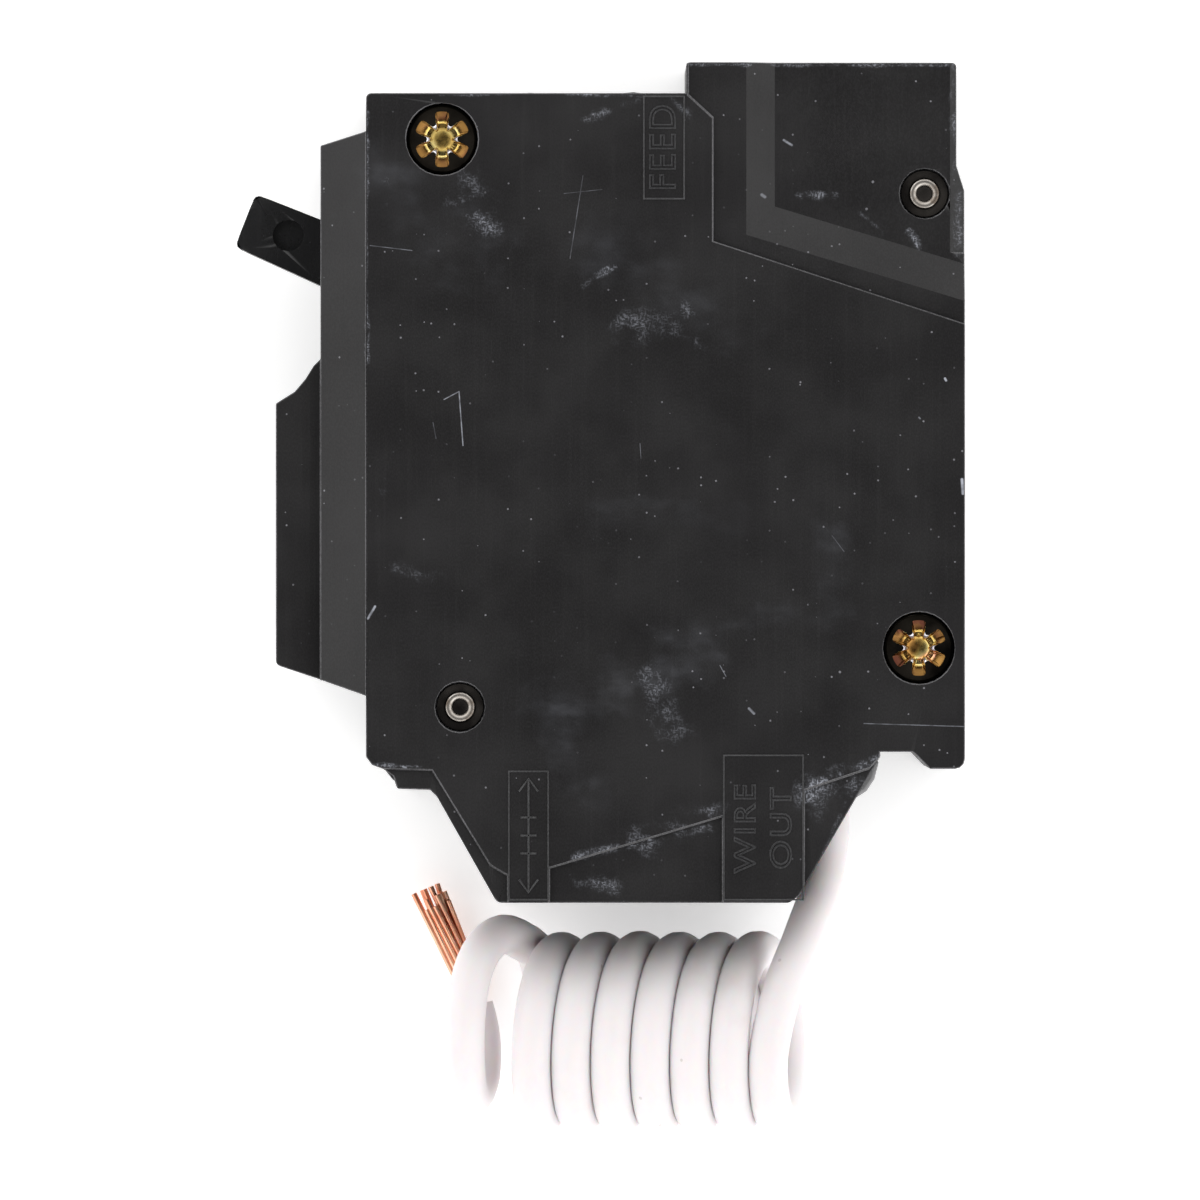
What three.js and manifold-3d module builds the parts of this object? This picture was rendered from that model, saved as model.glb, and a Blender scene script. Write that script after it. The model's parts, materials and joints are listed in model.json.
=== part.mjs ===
// A one-inch plug-in circuit breaker with earth-leakage protection, lying on its far side.
// Millimetres. +X runs from the handle face to the bus, +Y from the load end to the line end,
// +Z through the thickness of the case. The group is centred over its footprint on z = 0.

import * as THREE from 'three';
import { mergeVertices } from 'three/addons/utils/BufferGeometryUtils.js';
import { ConvexGeometry } from 'three/addons/geometries/ConvexGeometry.js';
import Module from 'manifold-3d';

// ---- Driving dimensions ------------------------------------------------------------------------

// Case
const CASE_THICKNESS = 25.4;
const CASE_HEIGHT = 84.1; // load end to line end
const CASE_DEPTH = 59.9; // front shoulder to bus face
const FRONT_X = -23.4;
const WALL = 1.6;
const CLEARANCE = 0.3;
const LINE_STEP = 3.1; // the bus half of the line end stands this much proud
const LINE_STEP_X = 8.6;
const FACE_STEP = 0.4; // raised main face over the recessed fields
const POCKET_DROP = 1.7;
const RAMP_WIDTH = 2.9;
const FOOT_RISE = 13.4; // load end up to the rail foot
const FOOT_SETBACK = 14.6; // load end up to the gap beside the foot

// Nose and test housing
const NOSE_REACH = 4.6;
const NOSE_TAPER = 2.4;
const HOUSING_REACH = 4.5;
const HOUSING_INSET = 4.0;

// Handle
const DRUM_RADIUS = 6.2;
const HANDLE_WIDTH = 9.0;
const LEVER_REACH = 15.454;
const LEVER_ROOT = 3.25;
const LEVER_TIP = 2.85;
const TRUNNION_RADIUS = 2.0;
const HANDLE_SWING = 46; // degrees from on to off
const HANDLE_CRANK = 4.0;

// Contact arm
const ARM_CRANK = 8.0;
const ARM_REST = 20; // degrees from +X with the contacts closed
const ARM_THICKNESS = 2.4;
const CONTACT_REACH = 14.0;
const CONTACT_RADIUS = 2.0;
const CONTACT_THICKNESS = 1.1;
const LINK_THICKNESS = 2.0;
const LINK_PIN_RADIUS = 1.0;
const PIVOT_PIN_RADIUS = 1.5;

// Trip unit
const TRIP_PIN_RADIUS = 1.2;
const ARMATURE_PIN_RADIUS = 0.8;
const SOLENOID_RADIUS = 4.2;
const SOLENOID_LENGTH = 12.2;
const PLUNGER_RADIUS = 1.6;
const PLUNGER_TRAVEL = 2.4;

// Fasteners
const CASE_SCREW_HEAD_RADIUS = 3.35;
const CASE_SCREW_SHANK_RADIUS = 1.5;
const RIVET_RADIUS = 1.9;
const RIVET_BORE_RADIUS = 0.95;
const RIVET_HEAD_RADIUS = 2.3;

// Load lugs
const LUG_HEIGHT = 7.2;
const LUG_WIDTH = 5.8;
const LUG_WINDOW = 5.2;
const LUG_SCREW_RADIUS = 1.6;
const LUG_SCREW_HEAD_RADIUS = 3.0;

// Test button
const BUTTON_WIDTH = 9.0;
const BUTTON_HEIGHT = 7.0;
const BUTTON_TRAVEL = 1.2;

// Pigtail
const WIRE_DIAMETER = 4.0;
const COIL_TURN_RADIUS = 8.35; // axis of the coil to the axis of the wire

// ---- Places worked out from them ---------------------------------------------------------------

const LINE_Y = CASE_HEIGHT / 2;
const LOAD_Y = -CASE_HEIGHT / 2;
const BACK_X = FRONT_X + CASE_DEPTH;
const MID_Z = CASE_THICKNESS / 2;
const SHOULDER_Y = LINE_Y - LINE_STEP;
const POCKET_BACK_X = BACK_X - 0.8;
const NOSE_X = FRONT_X - NOSE_REACH;
const HOUSING_X = NOSE_X - HOUSING_REACH;
const CAVITY_BACK_X = POCKET_BACK_X - WALL;
const FIELD_Z = CASE_THICKNESS - FACE_STEP;
const FLOOR_Z = WALL - 0.5; // bosses start inside the walls that carry them
const CEILING_Z = CASE_THICKNESS - WALL + 0.5;
const SEAM = { base: MID_Z - CLEARANCE / 2, cover: MID_Z + CLEARANCE / 2 };
const POCKET_Z = FIELD_Z - POCKET_DROP;

const HANDLE_PIVOT = { x: FRONT_X + 1.9, y: LINE_Y - 21.65 };
const HANDLE_REST = 180 - HANDLE_SWING / 2; // degrees, lever up towards the line end
const CRANK_HALF_SWING = HANDLE_SWING / 2;
const ARM_HALF_SWING = HANDLE_SWING / 4;
const CRANK_PIN = fromPivot(HANDLE_PIVOT, HANDLE_CRANK, 90 - CRANK_HALF_SWING);
const ARM_PIVOT = {
  x: 4.0,
  y: CRANK_PIN.y - ARM_CRANK * Math.sin(radians(90 - ARM_HALF_SWING)),
};
const ARM_PIN = fromPivot(ARM_PIVOT, ARM_CRANK, 90 - ARM_HALF_SWING);
const ARM_Z = MID_Z - 2.5;

const TRIP_Y = ARM_PIVOT.y - 16.2;
const TRIP_PIVOT = { x: -6.0, y: TRIP_Y + 7.0 };
const ARMATURE_PIVOT = { x: 23.9, y: TRIP_Y + 4.1 };
const SOLENOID = { x: 0, y: TRIP_Y - 8.2 };
const TRIP_TAB_X = SOLENOID.x - 5.2;
const CALIBRATION_AXIS = [TRIP_Y + 2.8, MID_Z];

const BUTTON_Y = LOAD_Y + 36.55;
const RIB_X = [FRONT_X + 3.4, FRONT_X + 4.6];
const BOARD = { x0: -9.0, x1: 16.9, y0: LOAD_Y + 13.0, y1: LOAD_Y + 29.4, z: WALL + 2.4 };
const BOARD_THICKNESS = 1.6;
const BOARD_TOP = BOARD.z + BOARD_THICKNESS + CLEARANCE;
const SENSOR_Y = LOAD_Y + 22.85;
const LUG_Y = LOAD_Y + 6.05;
const LUG_LEVELS = [
  CASE_THICKNESS - WALL - CLEARANCE - LUG_HEIGHT / 2,
  WALL + CLEARANCE + LUG_HEIGHT / 2,
];
const TONGUE = { x0: -1.6, x1: -0.5 };
const LUG_HEAD = { x0: -9.4, x1: -7.2 };

const BUSHING_Z = MID_Z - 0.8;
const BUSHING_HALF = 4.0;
const PIGTAIL_X = 23.2;
const BUSHING_Y = LOAD_Y + 9.85;

// The case screws and rivets: place, and the level of the face they sit under.
const CASE_SCREWS = [
  { name: 'case_screw_line', x: FRONT_X + 7.6, y: LINE_Y - 7.7, face: CASE_THICKNESS },
  { name: 'case_screw_load', x: BACK_X - 4.6, y: LOAD_Y + 25.5, face: CASE_THICKNESS },
];
const CASE_RIVETS = [
  { name: 'case_rivet_load', x: FRONT_X + 9.4, y: LOAD_Y + 19.6, face: CASE_THICKNESS },
  { name: 'case_rivet_line', x: BACK_X - 4.0, y: LINE_Y - 13.1, face: POCKET_Z },
];

// ---- Materials ---------------------------------------------------------------------------------

const finish = (color, roughness, metalness = 0) =>
  new THREE.MeshStandardMaterial({ color, roughness, metalness });

const FINISH = {
  phenolic: finish(0x262526, 0.42),
  greyPlastic: finish(0x767676, 0.6),
  whiteInsulation: finish(0xf1eef2, 0.45),
  copper: finish(0xbe6e4b, 0.35, 1),
  yellowZinc: finish(0xb08a3c, 0.3, 1),
  steel: finish(0x9a9894, 0.35, 1),
  springSteel: finish(0x6d6f72, 0.3, 1),
  silver: finish(0xd8d6d0, 0.3, 1),
  fibre: finish(0xb8a68a, 0.85),
  board: finish(0x1f5c3a, 0.5),
  magnetWire: finish(0x8a3b1c, 0.4, 0.6),
  ferrite: finish(0x2d3136, 0.6),
  varistorBlue: finish(0x27539a, 0.45),
};

// ---- Geometry helpers --------------------------------------------------------------------------

function radians(degrees) {
  return (degrees * Math.PI) / 180;
}

function fromPivot(pivot, radius, degrees) {
  return {
    x: pivot.x + radius * Math.cos(radians(degrees)),
    y: pivot.y + radius * Math.sin(radians(degrees)),
  };
}

const wasm = await Module();
wasm.setup();

// A closed three.js geometry as a solid that can be joined and cut.
function solidOf(geometry) {
  const bare = geometry.clone();
  bare.deleteAttribute('normal');
  bare.deleteAttribute('uv');
  const merged = mergeVertices(bare, 1e-4);
  return new wasm.Manifold(
    new wasm.Mesh({
      numProp: 3,
      vertProperties: merged.attributes.position.array,
      triVerts: new Uint32Array(merged.index.array),
    }),
  );
}

function geometryOf(solid) {
  const { vertProperties, triVerts } = solid.getMesh();
  const geometry = new THREE.BufferGeometry();
  geometry.setAttribute('position', new THREE.BufferAttribute(vertProperties, 3));
  geometry.setIndex(new THREE.BufferAttribute(triVerts, 1));
  geometry.computeVertexNormals();
  return geometry;
}

// Corners are [x, y] or [x, y, radius]; a radius turns the corner into an arc.
function outline(corners, arcSteps = 3) {
  const points = [];
  corners.forEach(([x, y, radius = 0], index) => {
    const corner = new THREE.Vector2(x, y);
    if (radius === 0) {
      points.push(corner);
      return;
    }
    const before = corners.at(index - 1);
    const after = corners[(index + 1) % corners.length];
    const toBefore = new THREE.Vector2(before[0] - x, before[1] - y).normalize();
    const toAfter = new THREE.Vector2(after[0] - x, after[1] - y).normalize();
    const half = Math.acos(toBefore.dot(toAfter)) / 2;
    const centre = toBefore.clone().add(toAfter).normalize();
    centre.multiplyScalar(radius / Math.sin(half)).add(corner);
    const start = corner.clone().addScaledVector(toBefore, radius / Math.tan(half)).sub(centre);
    const turn = Math.sign(toAfter.cross(toBefore)) * (Math.PI - 2 * half);
    for (let step = 0; step <= arcSteps; step += 1) {
      const angle = start.angle() + (turn * step) / arcSteps;
      const spoke = new THREE.Vector2(Math.cos(angle), Math.sin(angle));
      points.push(spoke.multiplyScalar(radius).add(centre));
    }
  });
  return points;
}

// Axes that an outline's own x and y take, and the direction in which it is extruded.
const PLANES = {
  z: new THREE.Matrix4(),
  y: new THREE.Matrix4().makeBasis(
    new THREE.Vector3(1, 0, 0),
    new THREE.Vector3(0, 0, 1),
    new THREE.Vector3(0, -1, 0),
  ),
  x: new THREE.Matrix4().makeBasis(
    new THREE.Vector3(0, 1, 0),
    new THREE.Vector3(0, 0, 1),
    new THREE.Vector3(1, 0, 0),
  ),
};

function extruded(corners, axis, from, to, arcSteps) {
  const shape = new THREE.Shape(outline(corners, arcSteps));
  const geometry = new THREE.ExtrudeGeometry(shape, { depth: to - from, bevelEnabled: false });
  geometry.translate(0, 0, axis === 'y' ? -to : from);
  return solidOf(geometry.applyMatrix4(PLANES[axis]));
}

const prism = (corners, from, to, arcSteps) => extruded(corners, 'z', from, to, arcSteps);

function box(x0, x1, y0, y1, z0, z1) {
  const geometry = new THREE.BoxGeometry(x1 - x0, y1 - y0, z1 - z0);
  geometry.translate((x0 + x1) / 2, (y0 + y1) / 2, (z0 + z1) / 2);
  return solidOf(geometry);
}

// A closed lathe profile of [radius, height] pairs, turned about a line along one axis.
// For axis z the centre is (x, y), for y it is (x, z) and for x it is (y, z).
function turned(profile, axis, centre, segments = 20) {
  const points = profile.map(([radius, height]) => new THREE.Vector2(radius, height));
  const geometry = new THREE.LatheGeometry(points, segments);
  if (axis === 'z') {
    geometry.rotateX(Math.PI / 2).translate(centre[0], centre[1], 0);
  } else if (axis === 'x') {
    geometry.rotateZ(-Math.PI / 2).translate(0, centre[0], centre[1]);
  } else {
    geometry.translate(centre[0], 0, centre[1]);
  }
  return solidOf(geometry);
}

function rod(axis, centre, radius, from, to, segments = 16) {
  return turned([[0, from], [radius, from], [radius, to], [0, to]], axis, centre, segments);
}

function tube(axis, centre, outer, inner, from, to, segments = 20) {
  const profile = [[inner, from], [outer, from], [outer, to], [inner, to], [inner, from]];
  return turned(profile, axis, centre, segments);
}

// A round bar swept along a smooth curve through some points.
function along(points, radius, sides, steps) {
  const places = points.map((point) => new THREE.Vector3(...point));
  const extrudePath = new THREE.CatmullRomCurve3(places, false, 'centripetal');
  const section = new THREE.Shape();
  for (let side = 0; side < sides; side += 1) {
    const angle = (2 * Math.PI * side) / sides;
    const x = radius * Math.cos(angle);
    const y = radius * Math.sin(angle);
    if (side === 0) section.moveTo(x, y);
    else section.lineTo(x, y);
  }
  return solidOf(new THREE.ExtrudeGeometry(section, { steps, bevelEnabled: false, extrudePath }));
}

// A coil spring of round wire about an axis, between two places on it.
function coilSpring(axis, centre, radius, wire, turns, from, to) {
  const stepsPerTurn = 10;
  const rise = to - from - wire;
  const points = [];
  for (let step = 0; step <= turns * stepsPerTurn; step += 1) {
    const angle = (2 * Math.PI * step) / stepsPerTurn;
    const height = from + wire / 2 + (rise * step) / (turns * stepsPerTurn);
    const u = centre[0] + radius * Math.cos(angle);
    const v = centre[1] + radius * Math.sin(angle);
    points.push(axis === 'z' ? [u, v, height] : [height, u, v]);
  }
  return along(points, wire / 2, 6, points.length - 1);
}

const joined = (solids) => solids.reduce((whole, solid) => whole.add(solid));
const cut = (solid, tools) => tools.reduce((whole, tool) => whole.subtract(tool), solid);

const breaker = new THREE.Group();

function place(group, name, solid, material) {
  const mesh = new THREE.Mesh(geometryOf(solid), material);
  mesh.name = name;
  group.add(mesh);
  return mesh;
}

function subAssembly(name) {
  const group = new THREE.Group();
  group.name = name;
  breaker.add(group);
  return group;
}

// ---- Case --------------------------------------------------------------------------------------

const CASE_OUTLINE = [
  [FRONT_X, SHOULDER_Y, 0.5],
  [LINE_STEP_X, SHOULDER_Y],
  [LINE_STEP_X, LINE_Y, 0.4],
  [POCKET_BACK_X, LINE_Y, 0.4],
  [POCKET_BACK_X, LINE_Y - 10.3],
  [BACK_X, LINE_Y - 12.8],
  [BACK_X, LOAD_Y + FOOT_RISE, 1.0],
  [BACK_X - 3.5, LOAD_Y + FOOT_RISE, 0.5],
  [BACK_X - 5.2, LOAD_Y + FOOT_SETBACK + 0.5, 0.5],
  [28.0, LOAD_Y + FOOT_SETBACK + 0.5],
  [28.0, LOAD_Y + FOOT_SETBACK],
  [19.9, LOAD_Y + 0.7],
  [18.9, LOAD_Y, 0.9],
  [-10.3, LOAD_Y, 0.8],
  [-16.3, LOAD_Y + 10.6],
  [-17.0, LOAD_Y + 11.3],
  [-20.3, LOAD_Y + 11.4, 0.4],
  [-20.7, LOAD_Y + 12.7],
  [-21.7, LOAD_Y + 13.4],
  [-22.8, LOAD_Y + 13.8],
  [FRONT_X, LOAD_Y + 14.6],
];

// Where the cavity's walls stand, drawn as an outline that is then set in by the wall.
const CAVITY_OUTLINE = [
  [FRONT_X, SHOULDER_Y],
  [LINE_STEP_X, SHOULDER_Y],
  [LINE_STEP_X, LINE_Y],
  [POCKET_BACK_X, LINE_Y],
  [POCKET_BACK_X, LOAD_Y + FOOT_SETBACK + 0.5],
  [19.0, LOAD_Y + FOOT_SETBACK + 0.5],
  [19.0, LOAD_Y],
  [-10.3, LOAD_Y],
  [-16.7, LOAD_Y + 11.3],
  [FRONT_X, LOAD_Y + 15.0],
];

// An outline moved inwards; it runs clockwise, so inwards is to the right of each edge.
function inset(corners, distance) {
  const edges = corners.map(([x, y], index) => {
    const [nextX, nextY] = corners[(index + 1) % corners.length];
    const length = Math.hypot(nextX - x, nextY - y);
    const direction = [(nextX - x) / length, (nextY - y) / length];
    return { x: x + distance * direction[1], y: y - distance * direction[0], direction };
  });
  return edges.map((edge, index) => {
    const last = edges.at(index - 1);
    const [ax, ay] = last.direction;
    const [bx, by] = edge.direction;
    const reach = ((edge.x - last.x) * by - (edge.y - last.y) * bx) / (ax * by - ay * bx);
    return [last.x + reach * ax, last.y + reach * ay];
  });
}

function convex(points) {
  return solidOf(new ConvexGeometry(points.map((point) => new THREE.Vector3(...point))));
}

// The nose carries the handle; both of its sides lean in towards the front.
function nose() {
  const points = [];
  for (const [x, lean, top, bottom] of [
    [FRONT_X + 0.01, 0, LINE_Y - 6.9, LOAD_Y + 20.7],
    [NOSE_X, NOSE_TAPER, LINE_Y - 8.3, LOAD_Y + 22.3],
  ]) {
    for (const y of [top, bottom]) points.push([x, y, lean], [x, y, CASE_THICKNESS - lean]);
  }
  return convex(points);
}

function testHousing() {
  const corners = [
    [NOSE_X + 0.01, LOAD_Y + 54.5],
    [NOSE_X - 0.7, LOAD_Y + 53.8],
    [NOSE_X - 1.5, LOAD_Y + 52.5],
    [NOSE_X - 2.6, LOAD_Y + 51.2],
    [HOUSING_X, LOAD_Y + 50.0],
    [HOUSING_X, LOAD_Y + 23.8, 0.6],
    [NOSE_X + 0.01, LOAD_Y + 22.3],
  ];
  return prism(corners, HOUSING_INSET, CASE_THICKNESS - HOUSING_INSET);
}

// The fields beside the raised main face, as outlines cut one step deep.
function recessedFields() {
  const below = LOAD_Y - 1;
  const fields = [
    [
      [FRONT_X - 1, LOAD_Y + 13.5],
      [-16.8, LOAD_Y + 13.3],
      [-11.0, LOAD_Y + 3.8, 1.2],
      [-9.2, LOAD_Y + 2.8],
      [-9.2, below],
      [FRONT_X - 1, below],
    ],
    [
      [-5.1, LOAD_Y + 3.5],
      [12.3, LOAD_Y + 8.7],
      [12.3, below],
      [-5.1, below],
    ],
    [
      [20.4, LOAD_Y + 11.3],
      [27.0, LOAD_Y + 13.5],
      [28.0, LOAD_Y + 14.6],
      [30.0, below],
      [20.4, below],
    ],
    [
      [LINE_STEP_X + 0.2, LINE_Y + 1],
      [LINE_STEP_X + 0.2, LINE_Y - 3.3],
      [LINE_STEP_X + 2.7, LINE_Y - 5.6],
      [LINE_STEP_X + 2.7, LINE_Y - 17.9],
      [BACK_X + 1, LINE_Y - 26.5],
      [BACK_X + 1, LINE_Y + 1],
    ],
  ];
  return fields.map((corners) => prism(corners, FIELD_Z, CASE_THICKNESS + 1));
}

// The deep pocket at the line end, with a ramp along its two inner edges.
function linePocket() {
  const x = LINE_STEP_X + 6.0;
  const slope = 6.5 / 21.5;
  const lowCorner = LINE_Y - 17.3;
  const points = [];
  for (const [setIn, z] of [[0, FIELD_Z + 0.02], [RAMP_WIDTH, POCKET_Z]]) {
    const left = x + setIn;
    const corner = lowCorner + setIn;
    const right = BACK_X + 2;
    points.push([left, LINE_Y + 2, z], [right, LINE_Y + 2, z]);
    points.push([left, corner, z], [right, corner - slope * (right - left), z]);
  }
  return convex(points);
}

const POCKET_ROOF_Z = POCKET_Z - WALL;

function pocketRoof() {
  const corners = [
    [LINE_STEP_X + 4.4, LINE_Y - 1],
    [BACK_X - 1.2, LINE_Y - 1],
    [BACK_X - 1.2, LINE_Y - 27.0],
    [LINE_STEP_X + 4.4, LINE_Y - 20.0],
  ];
  return prism(corners, POCKET_ROOF_Z, FIELD_Z - FACE_STEP);
}

// Bosses that carry the fasteners and pins from one side of the case to the other.
function columns() {
  const screws = CASE_SCREWS.map(({ x, y }) => [x, y, CASE_SCREW_HEAD_RADIUS + 1.25]);
  const rivets = CASE_RIVETS.map(({ x, y }) => [x, y, RIVET_RADIUS + 1.5]);
  return [...screws, ...rivets].map(([x, y, radius]) =>
    rod('z', [x, y], radius, FLOOR_Z, CEILING_Z),
  );
}

function handleBearing() {
  const centre = [HANDLE_PIVOT.x, HANDLE_PIVOT.y];
  const half = HANDLE_WIDTH / 2 + 0.4;
  const posts = [
    rod('z', centre, TRUNNION_RADIUS + 2.2, FLOOR_Z, MID_Z - half, 20),
    rod('z', centre, TRUNNION_RADIUS + 2.2, MID_Z + half, CEILING_Z, 20),
  ];
  const { x, y } = HANDLE_PIVOT;
  const window = [
    [x - 9, y + 7.75],
    [x - 3.3, y + 5.75],
    [x, y],
    [x - 3.3, y - 5.75],
    [x - 9, y - 7.75],
  ];
  const cuts = [
    rod('z', centre, DRUM_RADIUS + CLEARANCE, MID_Z - half, MID_Z + half, 28),
    prism(window, MID_Z - half, MID_Z + half),
    rod('z', centre, TRUNNION_RADIUS + CLEARANCE, MID_Z - half - 3, MID_Z + half + 3, 16),
  ];
  return { posts, cuts };
}

const PIVOT_PINS = [
  { name: 'arm_pivot_pin', ...ARM_PIVOT, radius: PIVOT_PIN_RADIUS },
  { name: 'trip_pivot_pin', ...TRIP_PIVOT, radius: TRIP_PIN_RADIUS },
  { name: 'armature_pin', ...ARMATURE_PIVOT, radius: ARMATURE_PIN_RADIUS },
];

function pinSockets() {
  return PIVOT_PINS.flatMap(({ x, y, radius }) => [
    tube('z', [x, y], radius + 1.3, radius + CLEARANCE, FLOOR_Z, WALL + 2.4, 14),
    tube('z', [x, y], radius + 1.3, radius + CLEARANCE, CASE_THICKNESS - WALL - 2.4, CEILING_Z, 14),
  ]);
}

function fastenerHoles() {
  const screws = CASE_SCREWS.flatMap(({ x, y, face }) => [
    rod('z', [x, y], CASE_SCREW_HEAD_RADIUS + 0.25, face - 3.4, face + 1, 28),
    rod('z', [x, y], CASE_SCREW_SHANK_RADIUS + CLEARANCE, 2.4, face - 3, 12),
  ]);
  const rivets = CASE_RIVETS.flatMap(({ x, y, face }) => [
    rod('z', [x, y], RIVET_HEAD_RADIUS + 0.2, face - 1.1, face + 3, 20),
    rod('z', [x, y], RIVET_HEAD_RADIUS + 0.2, -1, 1.1, 20),
    rod('z', [x, y], RIVET_RADIUS + CLEARANCE, -1, face, 16),
  ]);
  return [...screws, ...rivets];
}

// A block along x about the button's axis, given half its width and half its height.
function aboutButton(fromX, toX, halfY, halfZ) {
  return box(fromX, toX, BUTTON_Y - halfY, BUTTON_Y + halfY, MID_Z - halfZ, MID_Z + halfZ);
}

function buttonSlot() {
  const halfY = BUTTON_WIDTH / 2 + CLEARANCE;
  const halfZ = BUTTON_HEIGHT / 2 + CLEARANCE;
  return [
    aboutButton(HOUSING_X - 1, FRONT_X + 2, halfY, halfZ),
    aboutButton(NOSE_X + 1.6, FRONT_X + 2, halfY + 1.4, halfZ + 1.4),
  ];
}

const LINE_SLOT = { y0: ARM_PIVOT.y - 7.7, y1: ARM_PIVOT.y + 6.3, half: 2.6 };

// The bus blade's slot, the wire entries, the screwdriver holes and the notch for the pigtail.
function openings() {
  const half = LUG_WINDOW / 2;
  const entryX = TONGUE.x1 + 0.1;
  const entryY = LOAD_Y + WALL + 1;
  const lugs = LUG_LEVELS.flatMap((level) => [
    box(entryX, entryX + LUG_WINDOW, LOAD_Y - 1, entryY, level - half, level + half),
    rod('x', [LUG_Y, level], LUG_SCREW_HEAD_RADIUS + CLEARANCE, FRONT_X, LUG_HEAD.x0 - 0.2, 20),
  ]);
  const slotWall = [CAVITY_BACK_X - 0.5, BACK_X + 1];
  const slotHeight = [MID_Z - LINE_SLOT.half, MID_Z + LINE_SLOT.half];
  const leadRadius = WIRE_DIAMETER / 2 + CLEARANCE;
  const notch = [
    [20.0, BUSHING_Y + 4.6],
    [30.0, BUSHING_Y + 4.6],
    [30.0, LOAD_Y - 1],
    [19.0, LOAD_Y - 1],
    [19.0, LOAD_Y + 1],
    [20.0, LOAD_Y + 4],
  ];
  return [
    box(...slotWall, LINE_SLOT.y0, LINE_SLOT.y1, ...slotHeight),
    ...lugs,
    prism(notch, BUSHING_Z - BUSHING_HALF - CLEARANCE, BUSHING_Z + BUSHING_HALF + CLEARANCE),
    rod('y', [PIGTAIL_X, BUSHING_Z], leadRadius, BUSHING_Y + 4, BUSHING_Y + 8, 14),
  ];
}

function buildCase() {
  const bearing = handleBearing();
  const cavity = prism(inset(CAVITY_OUTLINE, WALL), WALL, CASE_THICKNESS - WALL);
  const kept = joined([...columns(), ...bearing.posts, ...pinSockets(), pocketRoof()]);
  const outside = joined([prism(CASE_OUTLINE, 0, CASE_THICKNESS), nose(), testHousing()]);
  const hollow = cut(outside, [cavity.subtract(kept)]);
  const face = [...recessedFields(), linePocket(), ...fastenerHoles()];
  const whole = cut(hollow, [...face, ...bearing.cuts, ...buttonSlot(), ...openings()]);
  const reach = CASE_HEIGHT + CASE_DEPTH;
  const slab = (from, to) => box(-reach, reach, -reach, reach, from, to);
  return {
    baseHalf: whole.intersect(slab(-1, SEAM.base)),
    coverHalf: whole.intersect(slab(SEAM.cover, CASE_THICKNESS + 1)),
  };
}

// The far shell is a little larger than the near one along the line end and at the front corner.
function baseTrimmings() {
  const humps = [
    [-7.6, SHOULDER_Y - 0.4],
    [-7.3, SHOULDER_Y + 0.45],
    [-4.5, SHOULDER_Y + 0.3],
    [-1.8, SHOULDER_Y + 0.05],
    [1.0, SHOULDER_Y + 0.3],
    [3.4, SHOULDER_Y + 0.5],
    [4.6, SHOULDER_Y + 0.35],
    [5.2, SHOULDER_Y - 0.4],
  ];
  const corner = [
    [FRONT_X + 1.0, LOAD_Y + 13.9],
    [-21.7, LOAD_Y + 13.2],
    [-20.9, LOAD_Y + 12.2],
    [-20.0, LOAD_Y + 11.6],
    [-19.6, LOAD_Y + 14.0],
  ];
  return [prism(humps, 0, SEAM.base), prism(corner, 0, SEAM.base)];
}

// A rib in the far shell that the button's spring presses against.
function springRib() {
  const rib = box(RIB_X[0], RIB_X[1], BUTTON_Y - 4, BUTTON_Y + 4, FLOOR_Z, SEAM.base);
  return rib.subtract(rod('x', [BUTTON_Y, MID_Z], 2.0, RIB_X[0] - 1, RIB_X[1] + 1, 16));
}

function boardPosts() {
  const places = [
    [BOARD.x0 + 2, BOARD.y0 + 2],
    [BOARD.x1 - 3, BOARD.y1 - 2],
  ];
  return places.map(([x, y]) => rod('z', [x, y], 1.4, FLOOR_Z, BOARD.z - CLEARANCE, 10));
}

const caseGroup = subAssembly('case');
const { baseHalf, coverHalf } = buildCase();
const base = joined([baseHalf, ...baseTrimmings(), springRib(), ...boardPosts()]);
place(caseGroup, 'case_base', base, FINISH.phenolic);
place(caseGroup, 'case_cover', coverHalf, FINISH.phenolic);

function sixLobeRecess(x, y, top, depth) {
  const lobes = [rod('z', [x, y], 1.75, top - depth, top + 1, 18)];
  for (let lobe = 0; lobe < 6; lobe += 1) {
    const { x: u, y: v } = fromPivot({ x, y }, 1.9, 60 * lobe + 30);
    lobes.push(rod('z', [u, v], 0.72, top - depth, top + 1, 8));
  }
  return joined(lobes);
}

for (const { name, x, y, face } of CASE_SCREWS) {
  const top = face - 1.1;
  const head = rod('z', [x, y], CASE_SCREW_HEAD_RADIUS, top - 2.0, top, 28);
  const shank = rod('z', [x, y], CASE_SCREW_SHANK_RADIUS, 3.2, top - 1.9, 12);
  place(caseGroup, name, head.add(shank).subtract(sixLobeRecess(x, y, top, 1.3)), FINISH.yellowZinc);
}

for (const { name, x, y, face } of CASE_RIVETS) {
  const [bore, body, head] = [RIVET_BORE_RADIUS, RIVET_RADIUS, RIVET_HEAD_RADIUS];
  const profile = [
    [bore, 0.4],
    [head, 0.4],
    [head, 0.9],
    [body, 0.9],
    [body, face - 0.9],
    [head, face - 0.9],
    [head, face - 0.3],
    [bore, face - 0.3],
    [bore, 0.4],
  ];
  place(caseGroup, name, turned(profile, 'z', [x, y], 20), FINISH.steel);
}

function bushing() {
  const corners = [
    [20.3, BUSHING_Y + 4.3],
    [28.1, BUSHING_Y + 4.3],
    [27.6, BUSHING_Y + 2.4],
    [26.8, BUSHING_Y + 1.2],
    [25.7, BUSHING_Y + 0.5],
    [24.6, BUSHING_Y + 0.1],
    [20.3, BUSHING_Y],
  ];
  const body = prism(corners, BUSHING_Z - BUSHING_HALF, BUSHING_Z + BUSHING_HALF);
  const leadRadius = WIRE_DIAMETER / 2 + CLEARANCE;
  return body.subtract(
    rod('y', [PIGTAIL_X, BUSHING_Z], leadRadius, BUSHING_Y - 1, BUSHING_Y + 6, 16),
  );
}

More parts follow.
